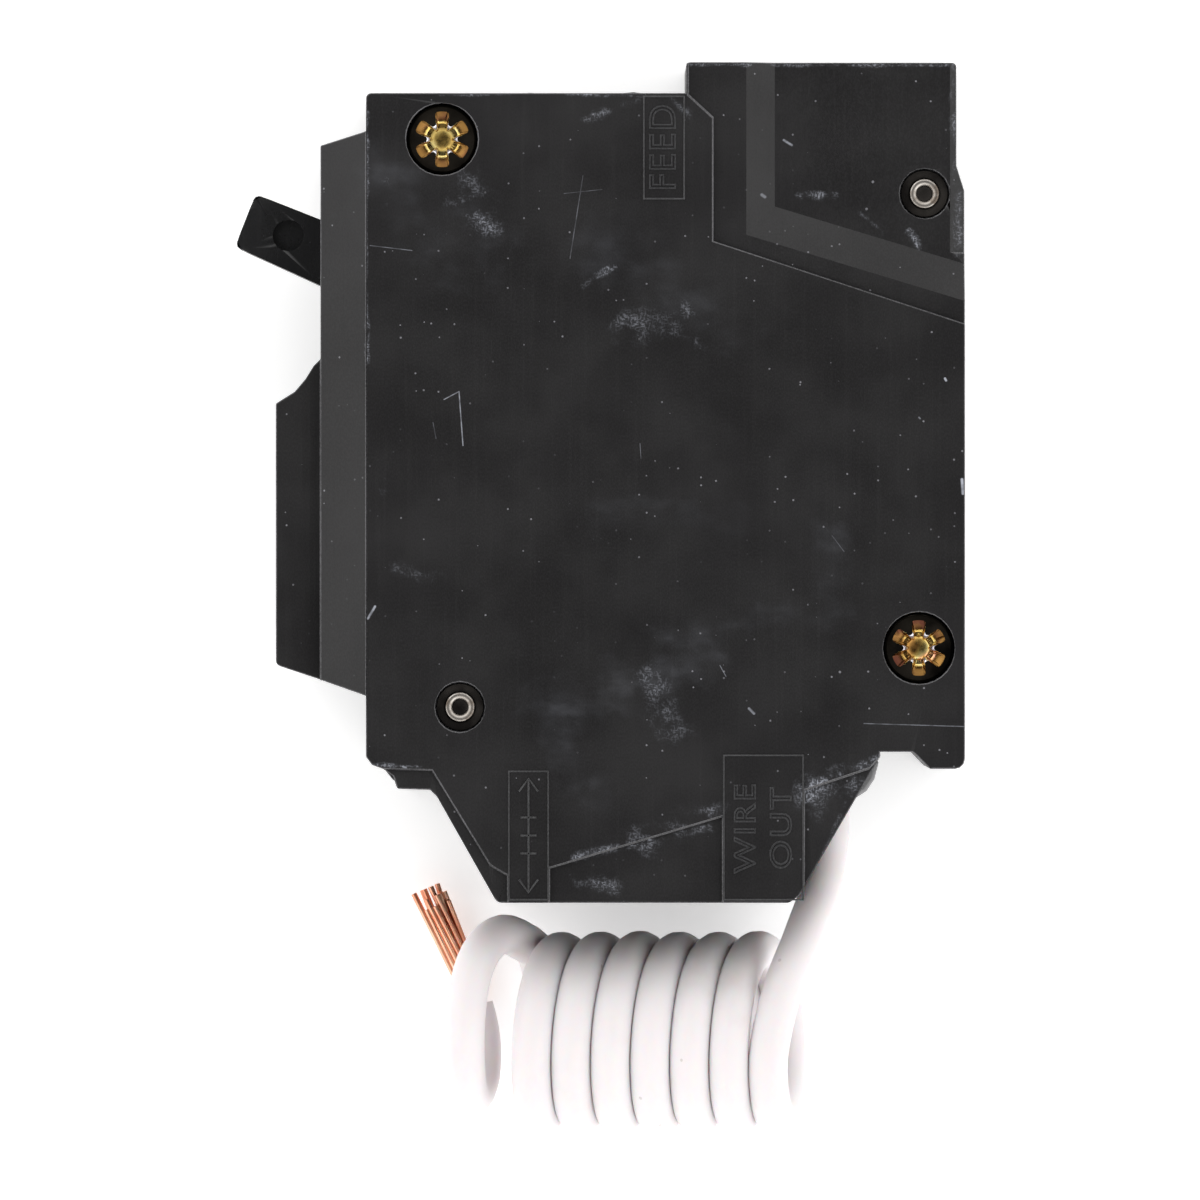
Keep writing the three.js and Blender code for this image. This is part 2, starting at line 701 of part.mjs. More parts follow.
place(caseGroup, 'pigtail_bushing', bushing(), FINISH.greyPlastic);

// ---- Handle and link ---------------------------------------------------------------------------

const switching = subAssembly('switching');

function handle() {
  const { x, y } = HANDLE_PIVOT;
  const centre = [x, y];
  const half = HANDLE_WIDTH / 2;
  const corner = (reach, side) => {
    const [c, s] = [Math.cos(radians(HANDLE_REST)), Math.sin(radians(HANDLE_REST))];
    return [x + reach * c - side * s, y + reach * s + side * c];
  };
  const lever = prism(
    [
      corner(0, -LEVER_ROOT),
      [...corner(LEVER_REACH, -LEVER_TIP), 0.7],
      [...corner(LEVER_REACH - 0.15, LEVER_TIP), 0.7],
      corner(0, LEVER_ROOT),
    ],
    MID_Z - half,
    MID_Z + half,
  );
  const drum = rod('z', centre, DRUM_RADIUS, MID_Z - half, MID_Z + half, 28);
  const trunnions = rod('z', centre, TRUNNION_RADIUS, MID_Z - half - 2.7, MID_Z + half + 2.7, 16);
  const slotHalf = LINK_THICKNESS / 2 + 0.4;
  const slot = box(x - 1.2, x + 9, y - 9, y + 9, MID_Z - slotHalf, MID_Z + slotHalf);
  const pinPlace = [CRANK_PIN.x, CRANK_PIN.y];
  const pinHole = rod('z', pinPlace, LINK_PIN_RADIUS + CLEARANCE, MID_Z - 3.8, MID_Z + 3.8, 12);
  const [dimpleX, dimpleY] = corner(10.8, -0.3);
  const dimple = rod('z', [dimpleX, dimpleY], 1.6, MID_Z + half - 0.8, MID_Z + half + 1, 16);
  return cut(joined([lever, drum, trunnions]), [slot, pinHole, dimple]);
}

place(switching, 'handle', handle(), FINISH.phenolic);

function driveLink() {
  const [z0, z1] = [MID_Z - LINK_THICKNESS / 2, MID_Z + LINK_THICKNESS / 2];
  const { y } = CRANK_PIN;
  const armBottom = ARM_Z - ARM_THICKNESS / 2;
  return joined([
    box(CRANK_PIN.x, ARM_PIN.x, y - 1.4, y + 1.4, z0, z1),
    rod('z', [CRANK_PIN.x, y], 1.7, z0, z1, 14),
    rod('z', [ARM_PIN.x, y], 1.9, z0, z1, 14),
    rod('z', [CRANK_PIN.x, y], LINK_PIN_RADIUS, MID_Z - 3.5, MID_Z + 3.5, 12),
    rod('z', [ARM_PIN.x, y], LINK_PIN_RADIUS, armBottom - 0.5, MID_Z, 12),
  ]);
}

place(switching, 'drive_link', driveLink(), FINISH.steel);

// ---- Contact arm -------------------------------------------------------------------------------

// The arm and its contacts are drawn along +x about the pivot, then turned to the closed place.
const armGroup = new THREE.Group();
armGroup.position.set(ARM_PIVOT.x, ARM_PIVOT.y, 0);
armGroup.rotation.z = radians(ARM_REST);
switching.add(armGroup);

const ARM_FACE = -1.4;
const crankAngle = 90 - ARM_HALF_SWING - ARM_REST;

function contactArm() {
  const [z0, z1] = [ARM_Z - ARM_THICKNESS / 2, ARM_Z + ARM_THICKNESS / 2];
  const hub = rod('z', [0, 0], 3.2, z0, z1, 20);
  const beam = prism([[0, -2.6], [9, ARM_FACE], [16, ARM_FACE], [16, 1.9], [0, 3.0]], z0, z1);
  const pin = fromPivot({ x: 0, y: 0 }, ARM_CRANK, crankAngle);
  const sideways = fromPivot({ x: 0, y: 0 }, 1.8, crankAngle + 90);
  const web = prism(
    [
      [sideways.x, sideways.y],
      [-sideways.x, -sideways.y],
      [pin.x - sideways.x, pin.y - sideways.y],
      [pin.x + sideways.x, pin.y + sideways.y],
    ],
    z0,
    z1,
  );
  const eye = rod('z', [pin.x, pin.y], 2.4, z0, z1, 16);
  return cut(joined([hub, beam, web, eye]), [
    rod('z', [0, 0], PIVOT_PIN_RADIUS + CLEARANCE, z0 - 1, z1 + 1, 16),
    rod('z', [pin.x, pin.y], LINK_PIN_RADIUS + CLEARANCE + 0.1, z0 - 1, z1 + 1, 12),
  ]);
}

function contactDisc(top) {
  return rod('y', [CONTACT_REACH, ARM_Z], CONTACT_RADIUS, top - CONTACT_THICKNESS, top, 16);
}

const movingTop = ARM_FACE - 0.2;
const fixedTop = movingTop - CONTACT_THICKNESS - 0.15;
const footTop = fixedTop - CONTACT_THICKNESS - 0.2;
place(armGroup, 'contact_arm', contactArm(), FINISH.copper);
place(armGroup, 'moving_contact', contactDisc(movingTop), FINISH.silver);
place(armGroup, 'stationary_contact', contactDisc(fixedTop), FINISH.silver);

for (const { name, x, y, radius } of PIVOT_PINS) {
  const pin = rod('z', [x, y], radius, WALL + CLEARANCE, CASE_THICKNESS - WALL - CLEARANCE, 12);
  place(switching, name, pin, FINISH.steel);
}

const ARM_SPRING = { z0: ARM_Z + ARM_THICKNESS / 2 + CLEARANCE, height: 3.4, radius: 2.5, wire: 0.6 };
place(
  switching,
  'opening_spring',
  coilSpring(
    'z',
    [ARM_PIVOT.x, ARM_PIVOT.y],
    ARM_SPRING.radius,
    ARM_SPRING.wire,
    3,
    ARM_SPRING.z0,
    ARM_SPRING.z0 + ARM_SPRING.height,
  ),
  FINISH.springSteel,
);

// ---- Line side: conductor, jaw and arc chute ---------------------------------------------------

const line = subAssembly('line_side');
const JAW_X = CAVITY_BACK_X - 10.1;
const JAW_Y = [ARM_PIVOT.y - 6.7, ARM_PIVOT.y + 5.3];

function fromArm(u, v) {
  const [c, s] = [Math.cos(radians(ARM_REST)), Math.sin(radians(ARM_REST))];
  return [ARM_PIVOT.x + u * c - v * s, ARM_PIVOT.y + u * s + v * c];
}

// A foot under the stationary contact that turns down beside the jaw, as one bent bar.
function lineConductor() {
  const [near, far] = [JAW_X - 1.5, JAW_X - 0.3];
  const footStart = CONTACT_REACH - 2.5;
  const footBottom = footTop - 1.2;
  const lean = radians(ARM_REST);
  const onFoot = (x, v) => fromArm((x - ARM_PIVOT.x + v * Math.sin(lean)) / Math.cos(lean), v);
  const corners = [
    fromArm(footStart, footTop),
    onFoot(far, footTop),
    [far, JAW_Y[0]],
    [near, JAW_Y[0]],
    onFoot(near, footBottom),
    fromArm(footStart, footBottom),
  ];
  return prism(corners, ARM_Z - 3, ARM_Z + 3);
}

// Half of a jaw-shaped profile in x and height, completed by its mirror about the middle plane.
function mirroredProfile(outerSide, innerSide) {
  const below = (points) => points.map(([x, z]) => [x, MID_Z - z]);
  const above = (points) => points.map(([x, z]) => [x, MID_Z + z]);
  return [
    ...above(outerSide),
    ...above(innerSide),
    ...below([...innerSide].reverse()),
    ...below([...outerSide].reverse()),
  ];
}

function lineJaw() {
  const x = JAW_X;
  const outer = [[x, 5.2], [x + 2.4, 5.2], [x + 7.0, 2.15], [x + 9.0, 3.9]];
  const inner = [[x + 9.8, 3.1], [x + 7.1, 1.0], [x + 2.1, 4.1], [x + 1.2, 4.1]];
  return extruded(mirroredProfile(outer, inner), 'y', JAW_Y[0], JAW_Y[1]);
}

function jawSpring() {
  const x = JAW_X;
  const outer = [[x - 2.6, 6.4], [x + 2.9, 6.4], [x + 7.5, 3.35]];
  const inner = [[x + 7.0, 2.7], [x + 2.6, 5.6], [x - 1.8, 5.6]];
  return extruded(mirroredProfile(outer, inner), 'y', JAW_Y[0] + 0.3, JAW_Y[0] + 4.6);
}

place(line, 'line_conductor', lineConductor(), FINISH.copper);
place(line, 'line_jaw', lineJaw(), FINISH.copper);
place(line, 'jaw_spring', jawSpring(), FINISH.springSteel);

const ARC_PLATES = { inner: 17.3, outer: 24.3, first: ARM_REST + 12, step: 9, count: 4, half: 4.0 };

for (let plate = 0; plate < ARC_PLATES.count; plate += 1) {
  const holder = new THREE.Group();
  holder.position.set(ARM_PIVOT.x, ARM_PIVOT.y, 0);
  holder.rotation.z = radians(ARC_PLATES.first + plate * ARC_PLATES.step);
  line.add(holder);
  const { inner, outer, half } = ARC_PLATES;
  const solid = box(inner, outer, -0.5, 0.5, ARM_Z - half, ARM_Z + half);
  place(holder, `arc_plate_${plate + 1}`, solid, FINISH.steel);
}

const CHUTE_WALL = 0.9;

function chuteWall(z0) {
  const corners = [];
  for (const radius of [ARC_PLATES.inner - 0.5, ARC_PLATES.outer + 0.5]) {
    const arc = [];
    for (let step = 0; step <= 6; step += 1) {
      const { x, y } = fromPivot(ARM_PIVOT, radius, ARC_PLATES.first - 4 + step * 6);
      arc.push([x, y]);
    }
    corners.push(...(corners.length === 0 ? arc : arc.reverse()));
  }
  return prism(corners, z0, z0 + CHUTE_WALL);
}

const CHUTE_HALF = ARC_PLATES.half + CLEARANCE;
place(line, 'arc_chute_wall_far', chuteWall(ARM_Z - CHUTE_HALF - CHUTE_WALL), FINISH.fibre);
place(line, 'arc_chute_wall_near', chuteWall(ARM_Z + CHUTE_HALF), FINISH.fibre);

// ---- Trip unit ---------------------------------------------------------------------------------

const trip = subAssembly('trip_unit');

function bar(fromX, fromY, toX, toY, half, z0, z1) {
  const length = Math.hypot(toX - fromX, toY - fromY);
  const [sx, sy] = [(-(toY - fromY) / length) * half, ((toX - fromX) / length) * half];
  const corners = [
    [fromX + sx, fromY + sy],
    [fromX - sx, fromY - sy],
    [toX - sx, toY - sy],
    [toX + sx, toY + sy],
  ];
  return prism(corners, z0, z1);
}

function tripLever() {
  const [z0, z1] = [MID_Z - 1.2, MID_Z + 1.2];
  const { x, y } = TRIP_PIVOT;
  const tabX = TRIP_TAB_X - 0.85;
  const whole = joined([
    rod('z', [x, y], 3.0, z0, z1, 18),
    bar(x, y, 5.4, TRIP_Y + 4.1, 0.95, z0, z1),
    bar(x, y, tabX, SOLENOID.y + 1, 0.85, z0, z1),
    box(tabX - 0.85, tabX + 0.85, SOLENOID.y - 2.2, SOLENOID.y + 2.2, z0 - 0.8, z1 + 0.8),
  ]);
  return whole.subtract(rod('z', [x, y], TRIP_PIN_RADIUS + CLEARANCE, z0 - 1, z1 + 1, 14));
}

place(trip, 'trip_lever', tripLever(), FINISH.steel);
const tripSpringFloor = MID_Z + 1.2 + CLEARANCE;
place(
  trip,
  'trip_spring',
  coilSpring('z', [TRIP_PIVOT.x, TRIP_PIVOT.y], 2.1, 0.5, 3, tripSpringFloor, tripSpringFloor + 2.8),
  FINISH.springSteel,
);

const BIMETAL = { x0: 8.0, x1: 29.0, thickness: 1.0, half: 3.0 };
const BRACKET = { x0: BIMETAL.x1 + CLEARANCE, x1: CAVITY_BACK_X - 1.1, sheet: 1.2, half: 4.0 };
const YOKE = { x0: 13.0, x1: 21.0, half: 4.8, sheet: 1.0 };

function bimetal() {
  const { x0, x1, thickness, half } = BIMETAL;
  return box(x0, x1, TRIP_Y - thickness / 2, TRIP_Y + thickness / 2, MID_Z - half, MID_Z + half);
}

function bimetalBracket() {
  const { x0, x1, sheet, half } = BRACKET;
  const bottom = TRIP_Y - 1.6;
  const upright = box(x0, x0 + sheet, bottom, TRIP_Y + 5.2, MID_Z - half, MID_Z + half);
  const shelf = box(x0 + sheet - 0.1, x1, bottom, bottom + sheet, MID_Z - half, MID_Z + half);
  return upright.add(shelf).subtract(rod('x', CALIBRATION_AXIS, 1.3, x0 - 1, x0 + 2, 12));
}

function calibrationScrew() {
  const headX = CAVITY_BACK_X - 1.6;
  const shank = rod('x', CALIBRATION_AXIS, 1.0, BRACKET.x0 - 2.7, headX + 0.1, 12);
  return shank.add(rod('x', CALIBRATION_AXIS, 1.9, headX, headX + 1.2, 14));
}

function magnetYoke() {
  const { x0, x1, half, sheet } = YOKE;
  const [bottom, top] = [TRIP_Y - 2.6, TRIP_Y + 2.6];
  const cheek = (z0) => box(x0, x1, bottom, top, z0, z0 + sheet);
  const back = box(x0, x1, bottom, bottom + 1.1, MID_Z - half, MID_Z + half);
  return joined([back, cheek(MID_Z - half), cheek(MID_Z + half - sheet)]);
}

place(trip, 'bimetal', bimetal(), FINISH.steel);
place(trip, 'bimetal_bracket', bimetalBracket(), FINISH.copper);
place(trip, 'calibration_screw', calibrationScrew(), FINISH.yellowZinc);

function armature() {
  const { x, y } = ARMATURE_PIVOT;
  const [z0, z1] = [MID_Z - 4.5, MID_Z + 4.5];
  const plate = box(BIMETAL.x0 - 2.0, x, y - 0.5, y + 0.5, z0, z1);
  const knuckle = rod('z', [x, y], ARMATURE_PIN_RADIUS + 1.1, z0, z1, 14);
  const eye = rod('z', [x, y], ARMATURE_PIN_RADIUS + CLEARANCE, z0 - 1, z1 + 1, 12);
  return plate.add(knuckle).subtract(eye);
}

place(trip, 'magnet_yoke', magnetYoke(), FINISH.steel);
place(trip, 'armature', armature(), FINISH.steel);

// The solenoid that the leakage circuit fires, with its plunger against the trip lever.
function solenoidCoil() {
  const { x, y } = SOLENOID;
  const [start, end] = [x, x + SOLENOID_LENGTH];
  const [bore, waist, rim] = [PLUNGER_RADIUS + CLEARANCE, SOLENOID_RADIUS - 0.6, SOLENOID_RADIUS];
  const profile = [
    [bore, start],
    [rim, start],
    [rim, start + 1],
    [waist, start + 1],
    [waist, end - 1],
    [rim, end - 1],
    [rim, end],
    [bore, end],
    [bore, start],
  ];
  return turned(profile, 'x', [y, MID_Z], 20);
}

function solenoidFrame() {
  const { x, y } = SOLENOID;
  const half = SOLENOID_RADIUS + 0.2;
  const floor = MID_Z - SOLENOID_RADIUS - 0.4;
  const end = x + SOLENOID_LENGTH + 0.4;
  const side = (x0) => box(x0, x0 + 1, y - half, y + half, floor - 1.2, MID_Z + half);
  const plate = box(x - 1.4, end + 1, y - half, y + half, floor - 1.2, floor);
  const bore = rod('x', [y, MID_Z], PLUNGER_RADIUS + CLEARANCE, x - 2, end + 2, 14);
  return joined([plate, side(x - 1.4), side(end)]).subtract(bore);
}

const PLUNGER_HEAD_X = SOLENOID.x + SOLENOID_LENGTH + 1.4 + PLUNGER_TRAVEL + 1.9;

function solenoidPlunger() {
  const centre = [SOLENOID.y, MID_Z];
  const headX = PLUNGER_HEAD_X;
  const stem = rod('x', centre, PLUNGER_RADIUS, TRIP_TAB_X + CLEARANCE, headX, 14);
  return stem.add(rod('x', centre, PLUNGER_RADIUS + 1.2, headX - 0.01, headX + 1, 14));
}

place(trip, 'solenoid_coil', solenoidCoil(), FINISH.magnetWire);
place(trip, 'solenoid_frame', solenoidFrame(), FINISH.steel);
place(trip, 'solenoid_plunger', solenoidPlunger(), FINISH.steel);

function plungerSpring() {
  const [start, end] = [PLUNGER_HEAD_X - 1.6, PLUNGER_HEAD_X - 0.1];
  return coilSpring('x', [SOLENOID.y, MID_Z], PLUNGER_RADIUS + 0.6, 0.4, 3, start, end);
}

place(trip, 'plunger_spring', plungerSpring(), FINISH.springSteel);

// ---- Test button -------------------------------------------------------------------------------

const test = subAssembly('test_button_group');
const FLANGE_X = NOSE_X + 1.9;
const FLANGE_THICKNESS = 1.4;

function testButton() {
  const [halfY, halfZ] = [BUTTON_WIDTH / 2, BUTTON_HEIGHT / 2];
  const cap = aboutButton(HOUSING_X + 0.2, FLANGE_X + 0.1, halfY, halfZ);
  const flange = aboutButton(FLANGE_X, FLANGE_X + FLANGE_THICKNESS, halfY + 1.2, halfZ + 1.2);
  const stemEnd = RIB_X[1] + 0.8;
  const stem = rod('x', [BUTTON_Y, MID_Z], 1.6, FLANGE_X + FLANGE_THICKNESS - 0.1, stemEnd, 14);
  return joined([cap, flange, stem]);
}

place(test, 'test_button', testButton(), FINISH.whiteInsulation);
const springStart = FLANGE_X + FLANGE_THICKNESS + CLEARANCE;
const springEnd = RIB_X[0] - BUTTON_TRAVEL - 0.2;
place(
  test,
  'test_button_spring',
  coilSpring('x', [BUTTON_Y, MID_Z], 2.35, 0.5, 3, springStart, springEnd),
  FINISH.springSteel,
);

function testLeaf() {
  const x = FRONT_X + 7.1;
  const corners = [
    [x, BUTTON_Y + 6],
    [x + 0.5, BUTTON_Y + 6],
    [x + 0.5, BUTTON_Y - 8],
    [x + 3.3, BUTTON_Y - 9.5],
    [x + 3.3, BUTTON_Y - 10.1],
    [x, BUTTON_Y - 8.3],
  ];
  return prism(corners, MID_Z - 2.5, MID_Z + 2.5);
}

place(test, 'test_contact_leaf', testLeaf(), FINISH.copper);

// ---- Electronics -------------------------------------------------------------------------------

const electronics = subAssembly('electronics');
place(
  electronics,
  'circuit_board',
  box(BOARD.x0, BOARD.x1, BOARD.y0, BOARD.y1, BOARD.z, BOARD.z + BOARD_THICKNESS),
  FINISH.board,
);
const SENSOR = { outer: 6.0, inner: 3.0, length: 4.2, starts: [2.0, 8.4] };
const CAPACITOR = { x: BOARD.x0 + 3.0, radius: 3.0, length: 7.7 };
const VARISTOR = { x: BOARD.x1 - 3.6, y: BOARD.y0 + 5.0, radius: 3.5, thickness: 2.5 };

SENSOR.starts.forEach((x, index) => {
  const { outer, inner, length } = SENSOR;
  const ring = tube('x', [SENSOR_Y, MID_Z], outer, inner, x, x + length, 24);
  place(electronics, `current_sensor_${index + 1}`, ring, FINISH.ferrite);
});

function capacitor() {
  const { x, radius, length } = CAPACITOR;
  const start = BOARD.y0 + 0.5;
  return rod('y', [x, BOARD_TOP + radius], radius, start, start + length, 16);
}

function varistor() {
  const { x, y, radius, thickness } = VARISTOR;
  return rod('x', [y, BOARD_TOP + radius], radius, x, x + thickness, 18);
}

place(electronics, 'capacitor', capacitor(), FINISH.ferrite);
place(electronics, 'varistor', varistor(), FINISH.varistorBlue);

// ---- Load side: conductors, lugs and screws ----------------------------------------------------

const load = subAssembly('load_side');
const tongueMid = (TONGUE.x0 + TONGUE.x1) / 2;
const wireLevels = [MID_Z + 1.35, MID_Z - 1.35];

const loadRoute = [
  [31.9, TRIP_Y - 3.0, wireLevels[0]],
  [28.5, TRIP_Y - 5.5, wireLevels[0]],
  [24.0, TRIP_Y - 10.0, wireLevels[0]],
  [21.5, SENSOR_Y + 3.0, wireLevels[0]],
  [17.5, SENSOR_Y, wireLevels[0]],
  [9.0, SENSOR_Y, wireLevels[0]],
  [1.2, SENSOR_Y, wireLevels[0]],
  [tongueMid, SENSOR_Y - 3.0, wireLevels[0] + 1],
  [tongueMid, SENSOR_Y - 7.0, LUG_LEVELS[0] - 1.2],
  [tongueMid, LUG_Y + 5.6, LUG_LEVELS[0]],
];
const neutralRoute = [
  [PIGTAIL_X, BUSHING_Y + 9.4, BUSHING_Z],
  [22.4, SENSOR_Y - 1.6, BUSHING_Z],
  [19.5, SENSOR_Y, wireLevels[1]],
  [9.0, SENSOR_Y, wireLevels[1]],
  [1.2, SENSOR_Y, wireLevels[1]],
  [tongueMid, SENSOR_Y - 3.0, wireLevels[1] - 0.6],
  [tongueMid, SENSOR_Y - 7.0, LUG_LEVELS[1] + 2.6],
  [tongueMid, LUG_Y + 5.6, LUG_LEVELS[1] + 1.4],
];
place(load, 'load_conductor', along(loadRoute, 1.0, 8, 36), FINISH.copper);
place(load, 'neutral_conductor', along(neutralRoute, 1.0, 8, 30), FINISH.whiteInsulation);

const CAGE = { x0: -3.6, x1: 6.4, wall: 1.6 };

function lugCage(level) {
  const block = (x0, x1, halfY, halfZ) =>
    box(x0, x1, LUG_Y - halfY, LUG_Y + halfY, level - halfZ, level + halfZ);
  const { x0, x1, wall } = CAGE;
  const body = block(x0, x1, LUG_WIDTH / 2, LUG_HEIGHT / 2);
  const window = block(x0 + wall, x1 - wall, LUG_WIDTH / 2 + 1, LUG_WINDOW / 2);
  const threadRadius = LUG_SCREW_RADIUS + CLEARANCE;
  return cut(body, [window, rod('x', [LUG_Y, level], threadRadius, x0 - 1, x0 + wall + 1, 14)]);
}

function lugScrew(level) {
  const { x0, x1 } = LUG_HEAD;
  const head = rod('x', [LUG_Y, level], LUG_SCREW_HEAD_RADIUS, x0, x1, 20);
  const shank = rod('x', [LUG_Y, level], LUG_SCREW_RADIUS, x1 - 0.1, TONGUE.x0 - 0.5, 14);
  const slot = box(x0 - 1, x0 + 0.8, LUG_Y - 4, LUG_Y + 4, level - 0.45, level + 0.45);
  return head.add(shank).subtract(slot);
}

function loadTongue(level) {
  const half = LUG_WINDOW / 2 - 0.4;
  const y0 = LOAD_Y + WALL + 0.4;
  return box(TONGUE.x0, TONGUE.x1, y0, LUG_Y + 5.0, level - half, level + half);
}

LUG_LEVELS.forEach((level, index) => {
  place(load, `load_tongue_${index + 1}`, loadTongue(level), FINISH.copper);
  place(load, `lug_cage_${index + 1}`, lugCage(level), FINISH.steel);
  place(load, `lug_screw_${index + 1}`, lugScrew(level), FINISH.yellowZinc);
});

function lugBarrier() {
  const [x0, x1] = [LUG_HEAD.x0 + 0.6, CAGE.x1 + 1.8];
  return box(x0, x1, LOAD_Y + WALL + CLEARANCE, LUG_Y + 4.6, MID_Z - 0.5, MID_Z + 0.5);
}

place(load, 'lug_barrier', lugBarrier(), FINISH.fibre);

// The flexible braid from above the arm's pivot to the bimetal, drawn as a flat strap.
function braid() {
  const { x, y } = ARM_PIVOT;
  const corners = [
    [x + 3.6, y - 2.4],
    [x + 5.2, y - 2.4],
    [x + 6.8, TRIP_Y + 8.2],
    [x + 6.4, TRIP_Y + 6.2],
    [x + 5.0, TRIP_Y + 6.2],
    [x + 5.3, TRIP_Y + 8.0],
  ];
  return prism(corners, ARM_SPRING.z0 + 0.2, ARM_SPRING.z0 + 4.2);
}

place(load, 'flexible_braid', braid(), FINISH.copper);

// ---- Pigtail -----------------------------------------------------------------------------------

const pigtail = subAssembly('pigtail');
const WIRE_RADIUS = WIRE_DIAMETER / 2;
const innerLead = rod('y', [PIGTAIL_X, BUSHING_Z], WIRE_RADIUS, BUSHING_Y + 0.6, BUSHING_Y + 9.0, 12);
place(load, 'pigtail_inner_lead', innerLead, FINISH.whiteInsulation);

// The pigtail is drawn for a load end at y = -42.05 and moves with it.
pigtail.position.y = LOAD_Y + 42.05;

// Out of the bushing, along the notch, then up to the near side of the coil.
const LEAD_ROUTE = [
  [23.2, -32.5, BUSHING_Z],
  [23.15, -35.0, BUSHING_Z],
  [22.9, -37.6, BUSHING_Z + 0.1],
  [22.4, -40.2, BUSHING_Z + 1.0],
  [21.75, -42.2, 14.1],
  [21.1, -43.8, 15.5],
];

// The six close turns, as the plain tube that they fill.
const COIL = { x0: -5.6, x1: 18.9, y: -55.5, z: 10.4 };

function coil() {
  const [outer, inner] = [COIL_TURN_RADIUS + WIRE_RADIUS, COIL_TURN_RADIUS - WIRE_RADIUS];
  return tube('x', [COIL.y, COIL.z], outer, inner, COIL.x0, COIL.x1, 28);
}

// The loose last turn and the straight tail that ends in bare strands.
const TAIL_ROUTE = [
  [-8.0, -55.0, 2.05],
  [-8.4, -51.5, 2.9],
  [-8.9, -48.2, 5.4],
  [-9.5, -46.2, 9.0],
  [-10.2, -46.4, 12.8],
  [-10.8, -48.8, 16.2],
  [-11.2, -52.4, 18.3],
  [-11.6, -56.2, 18.2],
  [-12.0, -59.4, 15.8],
  [-12.3, -61.2, 12.2],
  [-12.5, -61.3, 8.4],
  [-12.6, -59.8, 5.0],
  [-12.6, -57.2, 2.7],
  [-12.5, -54.8, 2.1],
  [-12.45, -52.9, 2.1],
];
const STRANDS_ROUTE = [
  [-12.8, -51.9, 2.1],
  [-13.9, -49.3, 2.2],
  [-15.5, -45.4, 2.6],
  [-17.4, -40.9, 3.1],
];

place(pigtail, 'pigtail_lead', along(LEAD_ROUTE, WIRE_RADIUS, 10, 12), FINISH.whiteInsulation);
place(pigtail, 'pigtail_coil', coil(), FINISH.whiteInsulation);
place(pigtail, 'pigtail_tail', along(TAIL_ROUTE, WIRE_RADIUS, 9, 36), FINISH.whiteInsulation);
place(pigtail, 'pigtail_strands', along(STRANDS_ROUTE, 1.5, 8, 5), FINISH.copper);

// ---- Origin: centred over the footprint of everything but the pigtail --------------------------

pigtail.removeFromParent();
breaker.updateMatrixWorld(true);
const middle = new THREE.Box3().setFromObject(breaker, true).getCenter(new THREE.Vector3());
breaker.add(pigtail);
breaker.position.set(-middle.x, -middle.y, 0);

export default breaker;
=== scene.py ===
"""Looks of a one-inch plug-in circuit breaker that lies on its side beside its coiled pigtail.

Lengths are in metres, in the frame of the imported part: +X runs from the handle face to the bus,
+Y from the load end to the line end, and +Z through the thickness of the case.
"""

from __future__ import annotations

import json
import logging
import math
from collections.abc import Callable, Sequence
from dataclasses import dataclass
from enum import Enum

import bpy
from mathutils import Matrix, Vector


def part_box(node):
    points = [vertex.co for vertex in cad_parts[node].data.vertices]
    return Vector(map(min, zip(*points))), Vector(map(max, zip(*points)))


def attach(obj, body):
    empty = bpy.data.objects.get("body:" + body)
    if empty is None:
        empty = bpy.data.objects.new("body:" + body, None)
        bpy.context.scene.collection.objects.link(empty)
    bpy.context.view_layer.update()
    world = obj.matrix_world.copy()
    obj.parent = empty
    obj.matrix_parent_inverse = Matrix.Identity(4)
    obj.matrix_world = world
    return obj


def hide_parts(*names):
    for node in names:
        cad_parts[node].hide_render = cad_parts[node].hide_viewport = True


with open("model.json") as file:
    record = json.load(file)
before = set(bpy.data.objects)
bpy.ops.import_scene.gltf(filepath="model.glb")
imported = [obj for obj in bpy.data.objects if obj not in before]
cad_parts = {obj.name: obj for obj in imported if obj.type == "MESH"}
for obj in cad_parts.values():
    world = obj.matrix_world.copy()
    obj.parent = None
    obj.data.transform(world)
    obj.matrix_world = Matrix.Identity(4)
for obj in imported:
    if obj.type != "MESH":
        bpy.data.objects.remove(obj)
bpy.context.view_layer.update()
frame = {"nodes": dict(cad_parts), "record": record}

LOG = logging.getLogger("breaker")
MM = 0.001
WELD = 0.002 * MM
LEVEL = 0.6
WIDE_FACE = 1.0 * MM**2
ALMOST_FLAT = math.radians(0.6)

Colour = tuple[float, float, float]
Point = tuple[float, float, float]
Socket = bpy.types.NodeSocket
Piece = bpy.types.Object


# ---- Node materials ----------------------------------------------------------------------------


